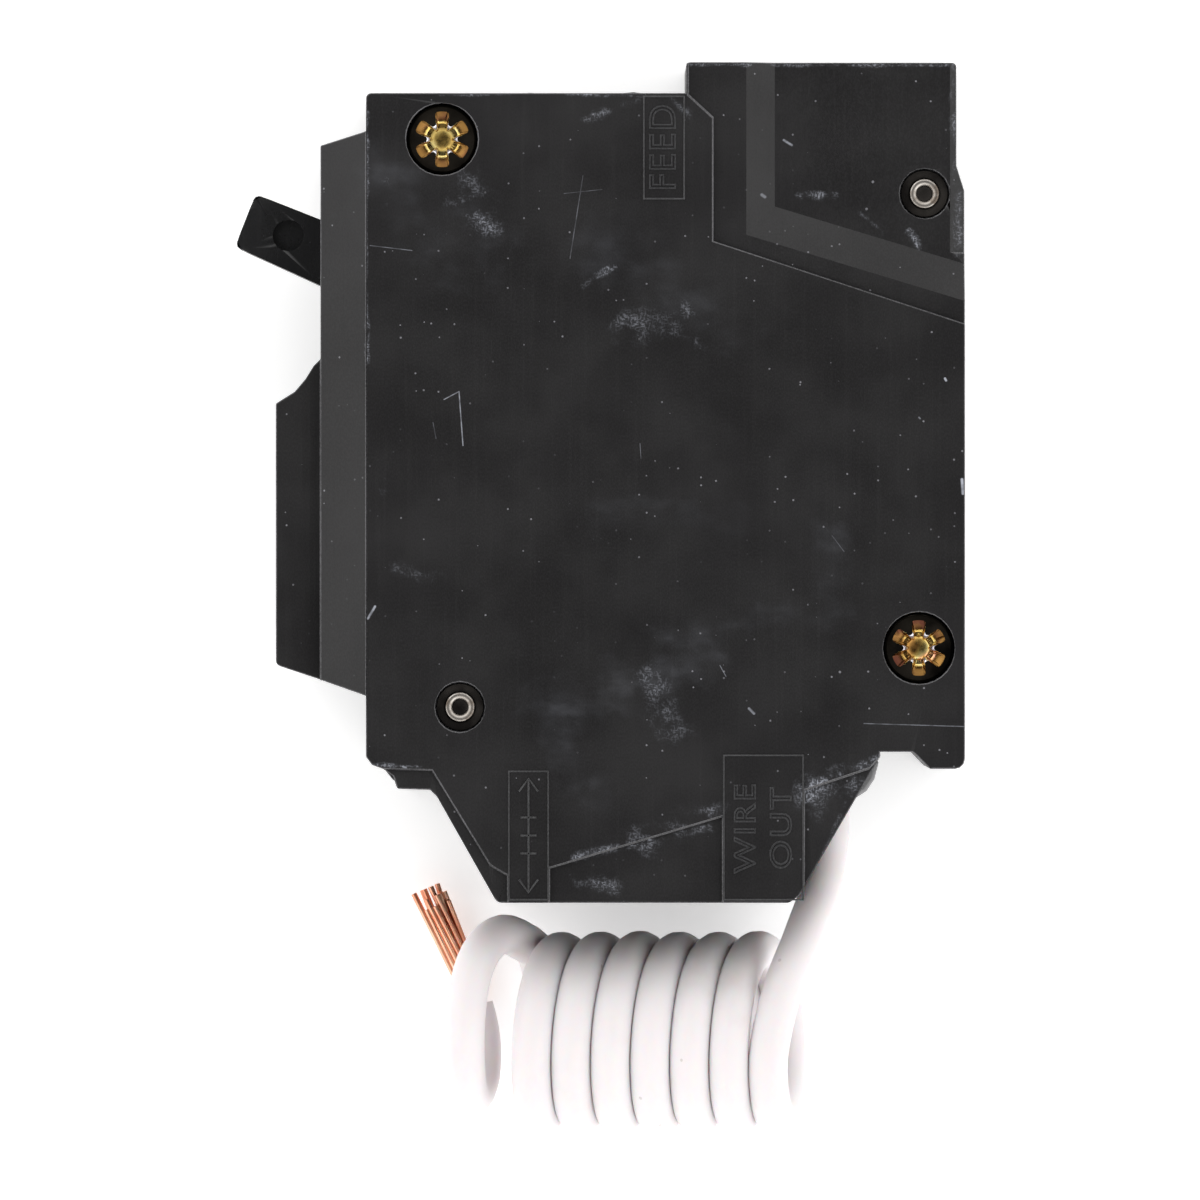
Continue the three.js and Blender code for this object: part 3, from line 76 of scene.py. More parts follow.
class Shader:
    """One node material with a Principled surface, written by short calls.

    Args:
        name: The material's name.
    """

    def __init__(self, name: str) -> None:
        self.material = bpy.data.materials.new(name)
        self.material.use_nodes = True
        self.tree = self.material.node_tree
        self.tree.nodes.clear()
        output = self.node("ShaderNodeOutputMaterial")
        self.surface = self.node("ShaderNodeBsdfPrincipled")
        self.link(self.surface.outputs[0], output.inputs["Surface"])
        self.point = self.node("ShaderNodeTexCoord").outputs["Object"]

    def node(self, kind: str, **settings: object) -> bpy.types.Node:
        """Adds a node.

        Args:
            kind: Blender's name of the node type.
            settings: Properties to set on it.

        Returns:
            The new node.
        """
        node = self.tree.nodes.new(kind)
        for key, value in settings.items():
            setattr(node, key, value)
        return node

    def link(self, source: Socket, target: Socket) -> None:
        """Joins an output to an input."""
        self.tree.links.new(source, target)

    def feed(self, target: Socket, value: object) -> None:
        """Gives an input a link, a number or a colour.

        Args:
            target: The input.
            value: A socket to link, or the value to set.
        """
        if isinstance(value, Socket):
            self.link(value, target)
        elif isinstance(value, tuple) and target.type == "RGBA":
            target.default_value = (*value, 1.0)
        else:
            target.default_value = value

    def maths(self, operation: str, *values: object, clamp: bool = False) -> Socket:
        """Applies one arithmetic operation.

        Args:
            operation: The Math node's operation.
            values: Its inputs, as sockets or numbers.
            clamp: Whether the result is kept from 0 to 1.

        Returns:
            The result's socket.
        """
        node = self.node("ShaderNodeMath", operation=operation, use_clamp=clamp)
        for target, value in zip(node.inputs, values):
            self.feed(target, value)
        return node.outputs[0]

    def stretched(self, scale: Point, turn: float = 0.0) -> Socket:
        """Object coordinates turned about Z and scaled along each axis.

        Args:
            scale: The factor along X, Y and Z.
            turn: The turn in degrees.

        Returns:
            The coordinates' socket.
        """
        mapping = self.node("ShaderNodeMapping")
        self.link(self.point, mapping.inputs["Vector"])
        mapping.inputs["Scale"].default_value = scale
        mapping.inputs["Rotation"].default_value = (0.0, 0.0, math.radians(turn))
        return mapping.outputs[0]

    def noise(
        self, scale: float, detail: float = 3.0, at: Socket | None = None
    ) -> Socket:
        """Cloudy noise from 0 to 1.

        Args:
            scale: Clouds to a metre.
            detail: Octaves of finer clouds.
            at: Coordinates, or the object's own.

        Returns:
            The noise's socket.
        """
        node = self.node("ShaderNodeTexNoise")
        self.link(at or self.point, node.inputs["Vector"])
        node.inputs["Scale"].default_value = scale
        node.inputs["Detail"].default_value = detail
        return node.outputs["Fac"]

    def specks(self, scale: float, size: float, share: float) -> Socket:
        """Scattered round dots.

        Args:
            scale: Cells to a metre.
            size: A dot's radius as a share of its cell.
            share: The share of cells that hold a dot.

        Returns:
            A mask's socket, 1 inside a dot.
        """
        cells = self.node("ShaderNodeTexVoronoi")
        self.link(self.point, cells.inputs["Vector"])
        cells.inputs["Scale"].default_value = scale
        inside = self.maths("LESS_THAN", cells.outputs["Distance"], size)
        draw = self.node("ShaderNodeSeparateColor")
        self.link(cells.outputs["Color"], draw.inputs[0])
        chosen = self.maths("LESS_THAN", draw.outputs[0], share)
        return self.maths("MULTIPLY", inside, chosen)

    def between(
        self, value: Socket, low: float, high: float, to_low: float, to_high: float
    ) -> Socket:
        """Moves a value smoothly from one range to another.

        Args:
            value: The value's socket.
            low: Start of the first range.
            high: End of the first range.
            to_low: Start of the second range.
            to_high: End of the second range.

        Returns:
            The moved value's socket.
        """
        node = self.node("ShaderNodeMapRange", interpolation_type="SMOOTHSTEP")
        for target, given in zip(node.inputs, (value, low, high, to_low, to_high)):
            self.feed(target, given)
        return node.outputs[0]

    def mixed(self, share: object, first: object, second: object) -> Socket:
        """Blends two colours.

        Args:
            share: How much of the second, from 0 to 1.
            first: The first colour.
            second: The second colour.

        Returns:
            The blend's socket.
        """
        node = self.node("ShaderNodeMix", data_type="RGBA")
        self.feed(node.inputs[0], share)
        self.feed(node.inputs[6], first)
        self.feed(node.inputs[7], second)
        return node.outputs[2]

    def relief(self, height: Socket, strength: float, depth: float) -> None:
        """Gives the surface a bump.

        Args:
            height: The height's socket.
            strength: The bump's strength.
            depth: The bump's depth in metres.
        """
        bump = self.node("ShaderNodeBump")
        bump.inputs["Strength"].default_value = strength
        bump.inputs["Distance"].default_value = depth
        self.link(height, bump.inputs["Height"])
        self.link(bump.outputs[0], self.surface.inputs["Normal"])

    def set(self, **inputs: object) -> None:
        """Sets inputs of the surface.

        Args:
            inputs: What each input is fed, with underscores for the spaces in its name.
        """
        for key, value in inputs.items():
            name = key.replace("_", " ").title().replace("Ior", "IOR")
            self.feed(self.surface.inputs[name], value)


class Wear(Enum):
    """How a mark breaks up the surface."""

    SCRATCH = "one thin line"
    SCUFF = "a band of fine short scratches"
    HAZE = "a faint cloud"


@dataclass(frozen=True)
class Mark:
    """A mark on the near face.

    Attributes:
        start: One end, as x and y in millimetres.
        end: The other end.
        width: The mark's half width in millimetres.
        strength: How pale it is, from 0 to 1.
        wear: How it breaks up the surface.
    """

    start: tuple[float, float]
    end: tuple[float, float]
    width: float
    strength: float
    wear: Wear = Wear.SCRATCH


SCUFF, HAZE = Wear.SCUFF, Wear.HAZE
FACE_MARKS = (
    Mark((-15.6, 8.3), (-14.1, 9.1), 0.07, 0.5),
    Mark((-14.1, 9.1), (-13.7, 3.7), 0.08, 0.55),
    Mark((-16.7, 6.0), (-16.4, 4.4), 0.06, 0.2),
    Mark((-1.7, 30.7), (-3.0, 22.4), 0.06, 0.22),
    Mark((-3.6, 28.9), (0.2, 29.3), 0.05, 0.18),
    Mark((-23.0, 23.7), (-18.8, 23.2), 0.06, 0.3),
    Mark((-23.2, -13.6), (-22.5, -12.4), 0.16, 0.75),
    Mark((26.4, -24.1), (36.4, -24.4), 0.07, 0.3),
    Mark((36.2, 0.3), (36.3, -1.1), 0.2, 0.9),
    Mark((18.4, 34.3), (19.2, 33.8), 0.16, 0.5),
    Mark((16.2, 28.8), (16.5, 28.6), 0.22, 0.8),
    Mark((14.9, -22.6), (15.4, -23.1), 0.17, 0.7),
    Mark((34.5, 10.4), (34.6, 10.2), 0.16, 0.9),
    Mark((31.9, 6.5), (32.0, 6.4), 0.12, 0.7),
    Mark((-19.7, -28.4), (-19.4, -28.5), 0.14, 0.6),
    Mark((4.0, 3.9), (4.1, 2.4), 0.05, 0.25),
    Mark((12.0, -18.3), (12.6, -19.4), 0.06, 0.35),
    Mark((23.2, -5.3), (24.4, -6.9), 0.05, 0.2),
    Mark((-0.3, 20.5), (1.5, 21.6), 0.55, 0.6, SCUFF),
    Mark((-1.6, 19.6), (0.2, 20.8), 0.5, 0.3, SCUFF),
    Mark((-15.6, 28.6), (-11.0, 25.6), 1.5, 0.45, SCUFF),
    Mark((-13.5, 31.0), (-12.0, 27.0), 2.0, 0.25, SCUFF),
    Mark((3.0, 16.0), (10.4, 14.4), 2.2, 0.3, SCUFF),
    Mark((8.5, 17.5), (9.8, 13.5), 1.0, 0.4, SCUFF),
    Mark((19.8, 28.6), (23.6, 28.8), 0.5, 0.6, SCUFF),
    Mark((31.0, 25.2), (31.8, 23.6), 0.5, 0.8, SCUFF),
    Mark((26.0, 27.0), (28.5, 25.0), 0.5, 0.5, SCUFF),
    Mark((-2.5, -37.6), (12.2, -34.0), 0.8, 0.8, SCUFF),
    Mark((4.0, -35.6), (12.0, -32.6), 2.0, 0.6, SCUFF),
    Mark((20.4, -30.8), (28.0, -27.4), 1.0, 1.0, SCUFF),
    Mark((20.8, -31.8), (25.0, -29.2), 1.9, 0.9, SCUFF),
    Mark((-3.2, 38.9), (4.4, 38.6), 0.3, 0.9, SCUFF),
    Mark((-16.0, 38.7), (-9.0, 38.8), 0.25, 0.6, SCUFF),
    Mark((-1.6, 36.2), (3.8, 38.3), 0.7, 0.35, SCUFF),
    Mark((-23.3, 37.0), (-23.3, 12.0), 0.3, 0.6, SCUFF),
    Mark((-21.5, 30.5), (-21.0, 28.0), 0.8, 0.35, SCUFF),
    Mark((-21.6, -0.2), (-20.6, -0.9), 0.9, 0.5, SCUFF),
    Mark((-20.0, -8.5), (-16.0, -10.0), 1.2, 0.3, SCUFF),
    Mark((-23.0, -28.2), (-16.8, -28.5), 0.3, 0.7, SCUFF),
    Mark((-2.0, -39.6), (1.5, -40.4), 1.3, 0.5, SCUFF),
    Mark((8.6, 41.8), (35.0, 41.8), 0.25, 0.5, SCUFF),
    Mark((24.6, -32.0), (20.8, -40.6), 0.3, 0.4, SCUFF),
    Mark((35.4, 42.0), (35.5, 30.0), 0.5, 0.35, SCUFF),
    Mark((36.0, 29.0), (36.0, 23.0), 0.8, 0.35, SCUFF),
    Mark((4.6, -19.5), (8.0, -25.0), 2.2, 0.3, SCUFF),
    Mark((6.8, 38.8), (8.6, 37.0), 0.8, 0.5, SCUFF),
    Mark((-5.0, -22.0), (10.0, -18.6), 3.5, 0.16, HAZE),
    Mark((-4.2, -24.0), (-1.0, -31.0), 3.0, 0.15, HAZE),
    Mark((7.0, -15.5), (23.0, -13.0), 2.6, 0.12, HAZE),
    Mark((23.0, -13.0), (23.6, -5.0), 2.6, 0.10, HAZE),
    Mark((1.0, -3.0), (14.0, -5.0), 3.0, 0.06, HAZE),
    Mark((-22.0, 30.0), (-12.0, 22.0), 5.0, 0.10, HAZE),
    Mark((0.0, 24.0), (12.0, 16.0), 5.0, 0.07, HAZE),
)


@dataclass(frozen=True)
class Finish:
    """What every finish has: a name, the record's slot that it stands for, and a material."""

    name: str
    slot: str

    def material(self) -> bpy.types.Material:
        """Makes the finish once, and then shares it.

        Returns:
            The finish as a node material.
        """
        known = bpy.data.materials.get(self.name)
        if known:
            return known
        shader = Shader(self.name)
        self.dress(shader)
        return shader.material

    def dress(self, shader: Shader) -> None:
        """Writes the finish into a new material."""
        raise NotImplementedError


@dataclass(frozen=True)
class Moulding(Finish):
    """A moulded plastic: cloudy tone, fine grain, dust, and marks where it has been handled.

    Attributes:
        tone: Its colour.
        pale: The colour of its cloudier parts.
        roughness: Its mean roughness.
        dust: How pale its dust is, from 0 to 1.
        marks: Marks on a face that looks along +Z.
        specular: How strongly it mirrors.
    """

    tone: Colour
    pale: Colour
    roughness: float = 0.42
    dust: float = 0.0
    marks: tuple[Mark, ...] = ()
    specular: float = 0.5

    def dress(self, shader: Shader) -> None:
        """Writes cloudy tone, grain, brushed handling lines, dust and marks.

        Args:
            shader: The new material.
        """
        clouds = shader.between(shader.noise(45.0, 5.0), 0.38, 0.72, 0.0, 0.7)
        fine = shader.between(
            shader.noise(1.0, 2.0, shader.stretched((7500.0, 4200.0, 5000.0))), 0.36, 0.7, 0.0, 0.9
        )
        colour = shader.mixed(
            shader.maths("ADD", clouds, fine, clamp=True), self.tone, self.pale
        )
        lines = shader.noise(1.0, 2.0, shader.stretched((3600.0, 70.0, 300.0), 2.0))
        worn = shader.between(lines, 0.5, 0.8, 0.0, 1.0)
        if self.dust:
            dots = shader.maths(
                "ADD", shader.specks(300.0, 0.04, 0.25), shader.specks(1300.0, 0.13, 0.16)
            )
            faint = shader.between(shader.noise(110.0, 2.0), 0.38, 0.62, 0.1, 1.0)
            veil = shader.maths("MULTIPLY", dots, faint)
            veil = shader.maths("MULTIPLY", veil, self.dust)
            colour = shader.mixed(veil, colour, (0.36, 0.36, 0.39))
        if self.marks:
            colour = shader.mixed(self.scars(shader), colour, (0.45, 0.47, 0.53))
        rough = shader.between(
            shader.noise(120.0, 4.0), 0.3, 0.75, self.roughness - 0.06, self.roughness + 0.08
        )
        rough = shader.maths("MULTIPLY_ADD", worn, 0.05, rough)
        shader.set(base_color=colour, roughness=rough, specular_IOR_level=self.specular)
        grain = shader.noise(3200.0, 2.0)
        shader.relief(shader.maths("MULTIPLY_ADD", worn, -0.4, grain), 0.3, 0.00003)

    def scars(self, shader: Shader) -> Socket:
        """Adds up the marks of the near face.

        Args:
            shader: The material they are written in.

        Returns:
            The socket of how pale the marks make each spot.
        """
        flat = shader.node("ShaderNodeVectorMath", operation="MULTIPLY")
        shader.link(shader.point, flat.inputs[0])
        flat.inputs[1].default_value = (1.0, 1.0, 0.0)
        streaks = shader.noise(1.0, 4.0, shader.stretched((2600.0, 5600.0, 400.0), 28.0))
        crossed = shader.noise(1.0, 4.0, shader.stretched((5600.0, 2300.0, 400.0), 12.0))
        fleck = shader.maths("MAXIMUM", streaks, crossed)
        patchy = shader.between(shader.noise(420.0, 3.0), 0.38, 0.58, 0.0, 1.0)
        patterns = {
            Wear.SCRATCH: shader.between(shader.noise(900.0, 2.0), 0.35, 0.6, 0.4, 1.0),
            Wear.SCUFF: shader.maths(
                "MULTIPLY", shader.between(fleck, 0.51, 0.66, 0.12, 1.0), patchy
            ),
            Wear.HAZE: shader.between(
                shader.noise(1.0, 4.0, shader.stretched((160.0, 420.0, 100.0), 35.0)),
                0.35, 0.8, 0.1, 0.6,
            ),
        }
        normal = shader.node("ShaderNodeNewGeometry").outputs["Normal"]
        split = shader.node("ShaderNodeSeparateXYZ")
        shader.link(normal, split.inputs[0])
        upward = shader.between(split.outputs[2], 0.2, 0.5, 0.0, 1.0)
        ragged = shader.maths("SUBTRACT", shader.noise(330.0, 4.0), 0.47)
        total: object = 0.0
        for mark in self.marks:
            start = Vector((*mark.start, 0.0)) * MM
            along = Vector((*mark.end, 0.0)) * MM - start
            offset = shader.node("ShaderNodeVectorMath", operation="SUBTRACT")
            shader.link(flat.outputs[0], offset.inputs[0])
            offset.inputs[1].default_value = start
            share = shader.node("ShaderNodeVectorMath", operation="DOT_PRODUCT")
            shader.link(offset.outputs[0], share.inputs[0])
            share.inputs[1].default_value = along / along.length_squared
            held = shader.maths("ADD", share.outputs["Value"], 0.0, clamp=True)
            reach = shader.node("ShaderNodeVectorMath", operation="SCALE")
            reach.inputs[0].default_value = along
            shader.link(held, reach.inputs["Scale"])
            gap = shader.node("ShaderNodeVectorMath", operation="DISTANCE")
            shader.link(offset.outputs[0], gap.inputs[0])
            shader.link(reach.outputs[0], gap.inputs[1])
            width = mark.width * MM
            distance = gap.outputs["Value"]
            core = width * 0.3
            if mark.wear is not Wear.SCRATCH:
                core = -width * 0.5
                distance = shader.maths("MULTIPLY_ADD", ragged, 3.0 * width, distance)
            shape = shader.between(distance, core, width, mark.strength, 0.0)
            shape = shader.maths("MULTIPLY", shape, patterns[mark.wear])
            total = shader.maths("MAXIMUM", shape, total)
        return shader.maths("MULTIPLY", total, upward)


@dataclass(frozen=True)
class Metal(Finish):
    """A worked metal: cloudy tint, drawn lines and small pits.

    Attributes:
        tone: Its colour.
        tint: The colour of its tarnish or passivation.
        roughness: Its mean roughness.
        lines: Scale of the drawn lines along X, Y and Z.
        cloud: Clouds of tint to a metre.
    """

    tone: Colour
    tint: Colour
    roughness: float = 0.3
    lines: Point = (400.0, 400.0, 3000.0)
    cloud: float = 260.0

    def dress(self, shader: Shader) -> None:
        """Writes tint, drawn lines and pits.

        Args:
            shader: The new material.
        """
        clouds = shader.between(shader.noise(self.cloud, 4.0), 0.38, 0.66, 0.0, 1.0)
        drawn = shader.noise(1.0, 3.0, shader.stretched(self.lines))
        share = shader.maths("MULTIPLY_ADD", drawn, 0.25, clouds, clamp=True)
        colour = shader.mixed(share, self.tone, self.tint)
        rough = shader.between(drawn, 0.3, 0.7, self.roughness - 0.06, self.roughness + 0.1)
        shader.set(base_color=colour, roughness=rough, metallic=1.0)
        pits = shader.noise(2400.0, 2.0)
        shader.relief(shader.maths("ADD", drawn, pits), 0.2, 0.00002)


@dataclass(frozen=True)
class YellowZinc(Metal):
    """Yellow passivated zinc, which turns from pale gold through bronze to pink."""

    def dress(self, shader: Shader) -> None:
        """Writes the coloured bands of the passivation over the metal.

        Args:
            shader: The new material.
        """
        wander = shader.noise(330.0, 2.0)
        ramp = shader.node("ShaderNodeValToRGB")
        stops = (
            (0.30, (0.42, 0.22, 0.06)),
            (0.42, (0.78, 0.55, 0.16)),
            (0.52, (0.86, 0.72, 0.30)),
            (0.60, (0.80, 0.42, 0.20)),
            (0.68, (0.70, 0.34, 0.36)),
            (0.80, (0.62, 0.60, 0.36)),
        )
        ramp.color_ramp.elements[0].position = stops[0][0]
        ramp.color_ramp.elements[0].color = (*stops[0][1], 1.0)
        ramp.color_ramp.elements[1].position = stops[-1][0]
        ramp.color_ramp.elements[1].color = (*stops[-1][1], 1.0)
        for position, colour in stops[1:-1]:
            ramp.color_ramp.elements.new(position).color = (*colour, 1.0)
        shader.link(wander, ramp.inputs[0])
        rough = shader.between(shader.noise(1500.0, 3.0), 0.3, 0.7, 0.2, 0.36)
        shader.set(base_color=ramp.outputs[0], roughness=rough, metallic=1.0)
        shader.relief(shader.noise(1800.0, 3.0), 0.25, 0.00002)


@dataclass(frozen=True)
class Insulation(Finish):
    """Extruded wire insulation: white, a little soft, with faint grime and drag lines.

    Attributes:
        tone: Its colour.
        grime: The colour of its grime.
    """

    tone: Colour
    grime: Colour

    def dress(self, shader: Shader) -> None:
        """Writes soft white with faint grime and small drag marks.

        Args:
            shader: The new material.
        """
        clouds = shader.between(shader.noise(110.0, 4.0), 0.52, 0.85, 0.0, 0.35)
        dots = shader.maths("MULTIPLY", shader.specks(500.0, 0.1, 0.12), 0.6)
        share = shader.maths("ADD", clouds, dots, clamp=True)
        shader.set(
            base_color=shader.mixed(share, self.tone, self.grime),
            roughness=shader.between(shader.noise(300.0, 3.0), 0.3, 0.7, 0.38, 0.5),
            subsurface_weight=0.35,
            subsurface_scale=0.002,
        )
        shader.relief(shader.noise(900.0, 3.0), 0.12, 0.00004)


@dataclass(frozen=True)
class Paper(Finish):
    """A pressed sheet with short fibres, or a glass-cloth laminate.

    Attributes:
        tone: Its colour.
        fibre: The colour of its fibres.
        weave: Fibres to a metre.
        roughness: Its roughness.
    """

    tone: Colour
    fibre: Colour
    weave: float = 900.0
    roughness: float = 0.7

    def dress(self, shader: Shader) -> None:
        """Writes crossed fibres in two directions.

        Args:
            shader: The new material.
        """
        across = shader.noise(1.0, 2.0, shader.stretched((self.weave, self.weave / 8, self.weave)))
        along = shader.noise(1.0, 2.0, shader.stretched((self.weave / 8, self.weave, self.weave)))
        share = shader.maths("MAXIMUM", across, along)
        shader.set(
            base_color=shader.mixed(
                shader.between(share, 0.45, 0.75, 0.0, 1.0), self.tone, self.fibre
            ),
            roughness=shader.between(share, 0.4, 0.8, self.roughness - 0.05, self.roughness + 0.08),
        )
        shader.relief(share, 0.3, 0.00004)


PHENOLIC = (0.0080, 0.0075, 0.0079)
PHENOLIC_PALE = (0.0145, 0.0138, 0.0146)
FINISHES: dict[str, Finish] = {
    "near_case": Moulding(
        "near_case_phenolic", "black_phenolic", PHENOLIC, PHENOLIC_PALE, 0.42, 0.45, FACE_MARKS,
        0.36
    ),
    "far_case": Moulding(
        "far_case_phenolic", "black_phenolic", PHENOLIC, PHENOLIC_PALE, 0.42, 0.3, (), 0.36
    ),
    # Pale worn edge for the case's roundings, which is also a painted highlight for the light that
    # each rounded edge catches.
    "edge": Moulding(
        "worn_and_highlit_phenolic_edge", "black_phenolic", (0.024, 0.024, 0.025), (0.11, 0.108, 0.115),
        0.36, 0.5
    ),
    # Painted highlight: the moulded outlines and words are the case's black phenolic, painted paler
    # for the light that their edges catch.
    "relief": Moulding(
        "moulded_marks_highlit_phenolic", "black_phenolic", (0.022, 0.022, 0.023), (0.05, 0.05, 0.052),
        0.36,
        0.3,
    ),
    "handle": Moulding(
        "handle_phenolic", "handle_black", (0.008, 0.008, 0.008), (0.013, 0.013, 0.014), 0.28, 0.2
    ),
    "grey": Moulding("grey_nylon", "grey_plastic", (0.23, 0.23, 0.235), (0.28, 0.28, 0.285), 0.5),
    "button": Moulding(
        "button_resin", "button_white", (0.72, 0.71, 0.67), (0.80, 0.79, 0.76), 0.36
    ),
    "wire": Insulation(
        "wire_insulation", "white_insulation", (0.81, 0.78, 0.79), (0.54, 0.50, 0.48)
    ),
    "copper": Metal(
        "bare_copper", "copper", (0.98, 0.60, 0.42), (0.88, 0.38, 0.23), 0.3, (500.0, 90.0, 900.0)
    ),
    "yellow_zinc": YellowZinc(
        "yellow_zinc_plate", "yellow_zinc", (0.8, 0.6, 0.2), (0.5, 0.3, 0.1)
    ),
    # Painted shade: the screws are yellow zinc, painted near black on the head's top and sides and
    # deep in the recess, where they lie dark in their wells.
    "zinc_in_shade": Metal(
        "painted_shade_zinc_plate", "yellow_zinc", (0.035, 0.030, 0.024), (0.010, 0.009, 0.008), 0.42
    ),
    # Painted shade: the rivets' plated steel, painted near black where it lies in shade in its
    # recess and down the bore.
    "steel_in_shade": Metal(
        "painted_shade_steel", "plated_steel", (0.06, 0.055, 0.05), (0.02, 0.018, 0.017), 0.5
    ),
    "steel": Metal(
        "zinc_plated_steel", "plated_steel", (0.60, 0.59, 0.56), (0.42, 0.38, 0.33), 0.32
    ),
    "rolled_steel": Metal(
        "rolled_rivet_steel", "plated_steel", (0.50, 0.47, 0.43), (0.20, 0.165, 0.135), 0.4,
        (900.0, 900.0, 900.0), 900.0,
    ),
    # Painted highlight: pale silver for the glints on the ridges between the recess's lobes.
    "zinc_highlight": Metal(
        "painted_highlight_zinc_plate", "yellow_zinc", (0.82, 0.82, 0.86), (0.60, 0.56, 0.60), 0.22
    ),
    # The passivation's bronze, darkened as painted shade for the recess's outer slopes and the ring
    # round its floor.
    "shaded_bronze": Metal(
        "shaded_bronze_passivation", "yellow_zinc", (0.24, 0.13, 0.035), (0.10, 0.035, 0.022), 0.28,
        (400.0, 400.0, 3000.0), 300.0,
    ),
    "spring": Metal(
        "drawn_spring_wire", "spring_steel", (0.36, 0.36, 0.37), (0.22, 0.21, 0.21), 0.28
    ),
    "silver": Metal("silver_alloy", "silver_contact", (0.84, 0.82, 0.78), (0.66, 0.63, 0.58), 0.26),
    "magnet_wire": Metal(
        "enamelled_wire", "magnet_wire", (0.50, 0.15, 0.06), (0.34, 0.09, 0.03), 0.3,
        (2600.0, 300.0, 300.0),
    ),
    "fibre": Paper("vulcanised_fibre", "fibre_sheet", (0.42, 0.33, 0.22), (0.52, 0.43, 0.31)),
    "laminate": Paper(
        "board_laminate", "green_laminate", (0.02, 0.13, 0.06), (0.04, 0.19, 0.09), 1600.0, 0.4
    ),
    "resin": Moulding(
        "potting_resin", "sensor_resin", (0.02, 0.022, 0.026), (0.04, 0.042, 0.05), 0.5
    ),
    "blue": Moulding("dipped_epoxy", "varistor_blue", (0.03, 0.10, 0.34), (0.05, 0.14, 0.42), 0.35),
}


# ---- Modelling ---------------------------------------------------------------------------------


def only(piece: Piece) -> Piece:
    """Selects one object and nothing else.

    Args:
        piece: The object.

    Returns:
        The same object.
    """
    bpy.ops.object.select_all(action="DESELECT")
    piece.select_set(True)
    bpy.context.view_layer.objects.active = piece
    return piece


def placed(name: str, data: bpy.types.ID) -> Piece:
    """Puts new data into the scene as an object.

    Args:
        name: The object's name.
        data: Its mesh, curve, camera or light.

    Returns:
        The object.
    """
    piece = bpy.data.objects.new(name, data)
    bpy.context.scene.collection.objects.link(piece)
    return piece


def added(add: Callable[..., set[str]], **options: object) -> Piece:
    """Adds an object, and leaves it as the only one selected.

    Args:
        add: Blender's operator that adds it.
        options: The operator's options.

    Returns:
        The object.
    """
    bpy.ops.object.select_all(action="DESELECT")
    add(**options)
    return bpy.context.object


def apply_modifiers(piece: Piece) -> None:
    """Applies every modifier of a piece, in order.

    Args:
        piece: The piece.
    """
    only(piece)
    for modifier in list(piece.modifiers):
        bpy.ops.object.modifier_apply(modifier=modifier.name)


def settle(piece: Piece) -> None:
    """Puts a piece's place, turn and size into its mesh."""
    only(piece)
    bpy.ops.object.transform_apply(location=True, rotation=True, scale=True)


def keep_flats_crisp(piece: Piece) -> None:
    """Shades wide faces that look up or down flat, so that gentle slopes keep their edges.

    Args:
        piece: The piece.
    """
    for face in piece.data.polygons:
        if abs(face.normal.z) > LEVEL and face.area > WIDE_FACE:
            face.use_smooth = False


def round_edges(
    piece: Piece,
    width: float,
    segments: int = 2,
    worn: bool = False,
    clamp: bool = True,
    angle: float = 27.0,
) -> None:
    """Rounds the sharp edges of a piece and shades it smoothly between them.

    Args:
        piece: The piece.
        width: The rounding's width in metres.
        segments: Faces across it.
        worn: Whether the rounding takes the piece's second finish, which on the case is a pale worn
            edge that also serves as a painted highlight.
        clamp: Whether short edges hold the width down everywhere.
        angle: The sharpest corner in degrees that stays as it is.
    """
    only(piece)
    bpy.ops.object.shade_smooth()
    bevel = piece.modifiers.new("rounded edges", "BEVEL")
    bevel.material = 1 if worn else -1
    bevel.width = width
    bevel.segments = segments
    bevel.limit_method = "ANGLE"
    bevel.angle_limit = math.radians(angle)
    bevel.use_clamp_overlap = clamp
    apply_modifiers(piece)
    keep_flats_crisp(piece)
    weighted = piece.modifiers.new("flat faces", "WEIGHTED_NORMAL")
    weighted.mode = "FACE_AREA"
    weighted.weight = 50
    weighted.keep_sharp = True
    apply_modifiers(piece)


def cut_away(piece: Piece, cutter: Piece) -> None:
    """Subtracts one solid from another.

    Args:
        piece: The solid that is cut.
        cutter: The solid that cuts it, which is then removed.
    """
    boolean = piece.modifiers.new("cut", "BOOLEAN")
    boolean.operation = "DIFFERENCE"
    boolean.solver = "EXACT"
    boolean.use_self = True
    boolean.object = cutter
    apply_modifiers(piece)
    bpy.data.objects.remove(cutter)


def merge(pieces: list[Piece], name: str) -> Piece:
    """Joins pieces into one object.

    Args:
        pieces: The pieces, the first of which stays.
        name: The joined piece's name.

    Returns:
        The joined piece.
    """
    only(pieces[0])
    for piece in pieces[1:]:
        piece.select_set(True)
    if len(pieces) > 1:
        bpy.ops.object.join()
    pieces[0].name = name
    pieces[0].data.name = name
    return pieces[0]


def dress(piece: Piece, *finishes: Finish) -> None:
    """Gives a piece its finishes, as one material slot each, and keeps each face's choice.

    Args:
        piece: The piece.
        finishes: Its finishes, in the order of its faces' choices.
    """
    chosen = [face.material_index for face in piece.data.polygons]
    piece.data.materials.clear()
    for finish in finishes:
        piece.data.materials.append(finish.material())
    piece.data.polygons.foreach_set("material_index", chosen)


def finish_piece(
    piece: Piece, finishes: list[Finish], body: str, replaced: tuple[str, ...] = ()
) -> Piece:
    """Dresses a piece, puts it on its body and hides the CAD nodes that it replaces.

    Args:
        piece: The piece.
        finishes: Its finishes, in the order of its faces' choices.
        body: The CAD body that it rides on.
        replaced: The CAD nodes that it replaces.

    Returns:
        The piece.
    """
    dress(piece, *finishes)
    if replaced:
        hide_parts(*replaced)
    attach(piece, body)
    LOG.info("%s rides on %s in %s", piece.name, body, finishes[0].name)
    return piece


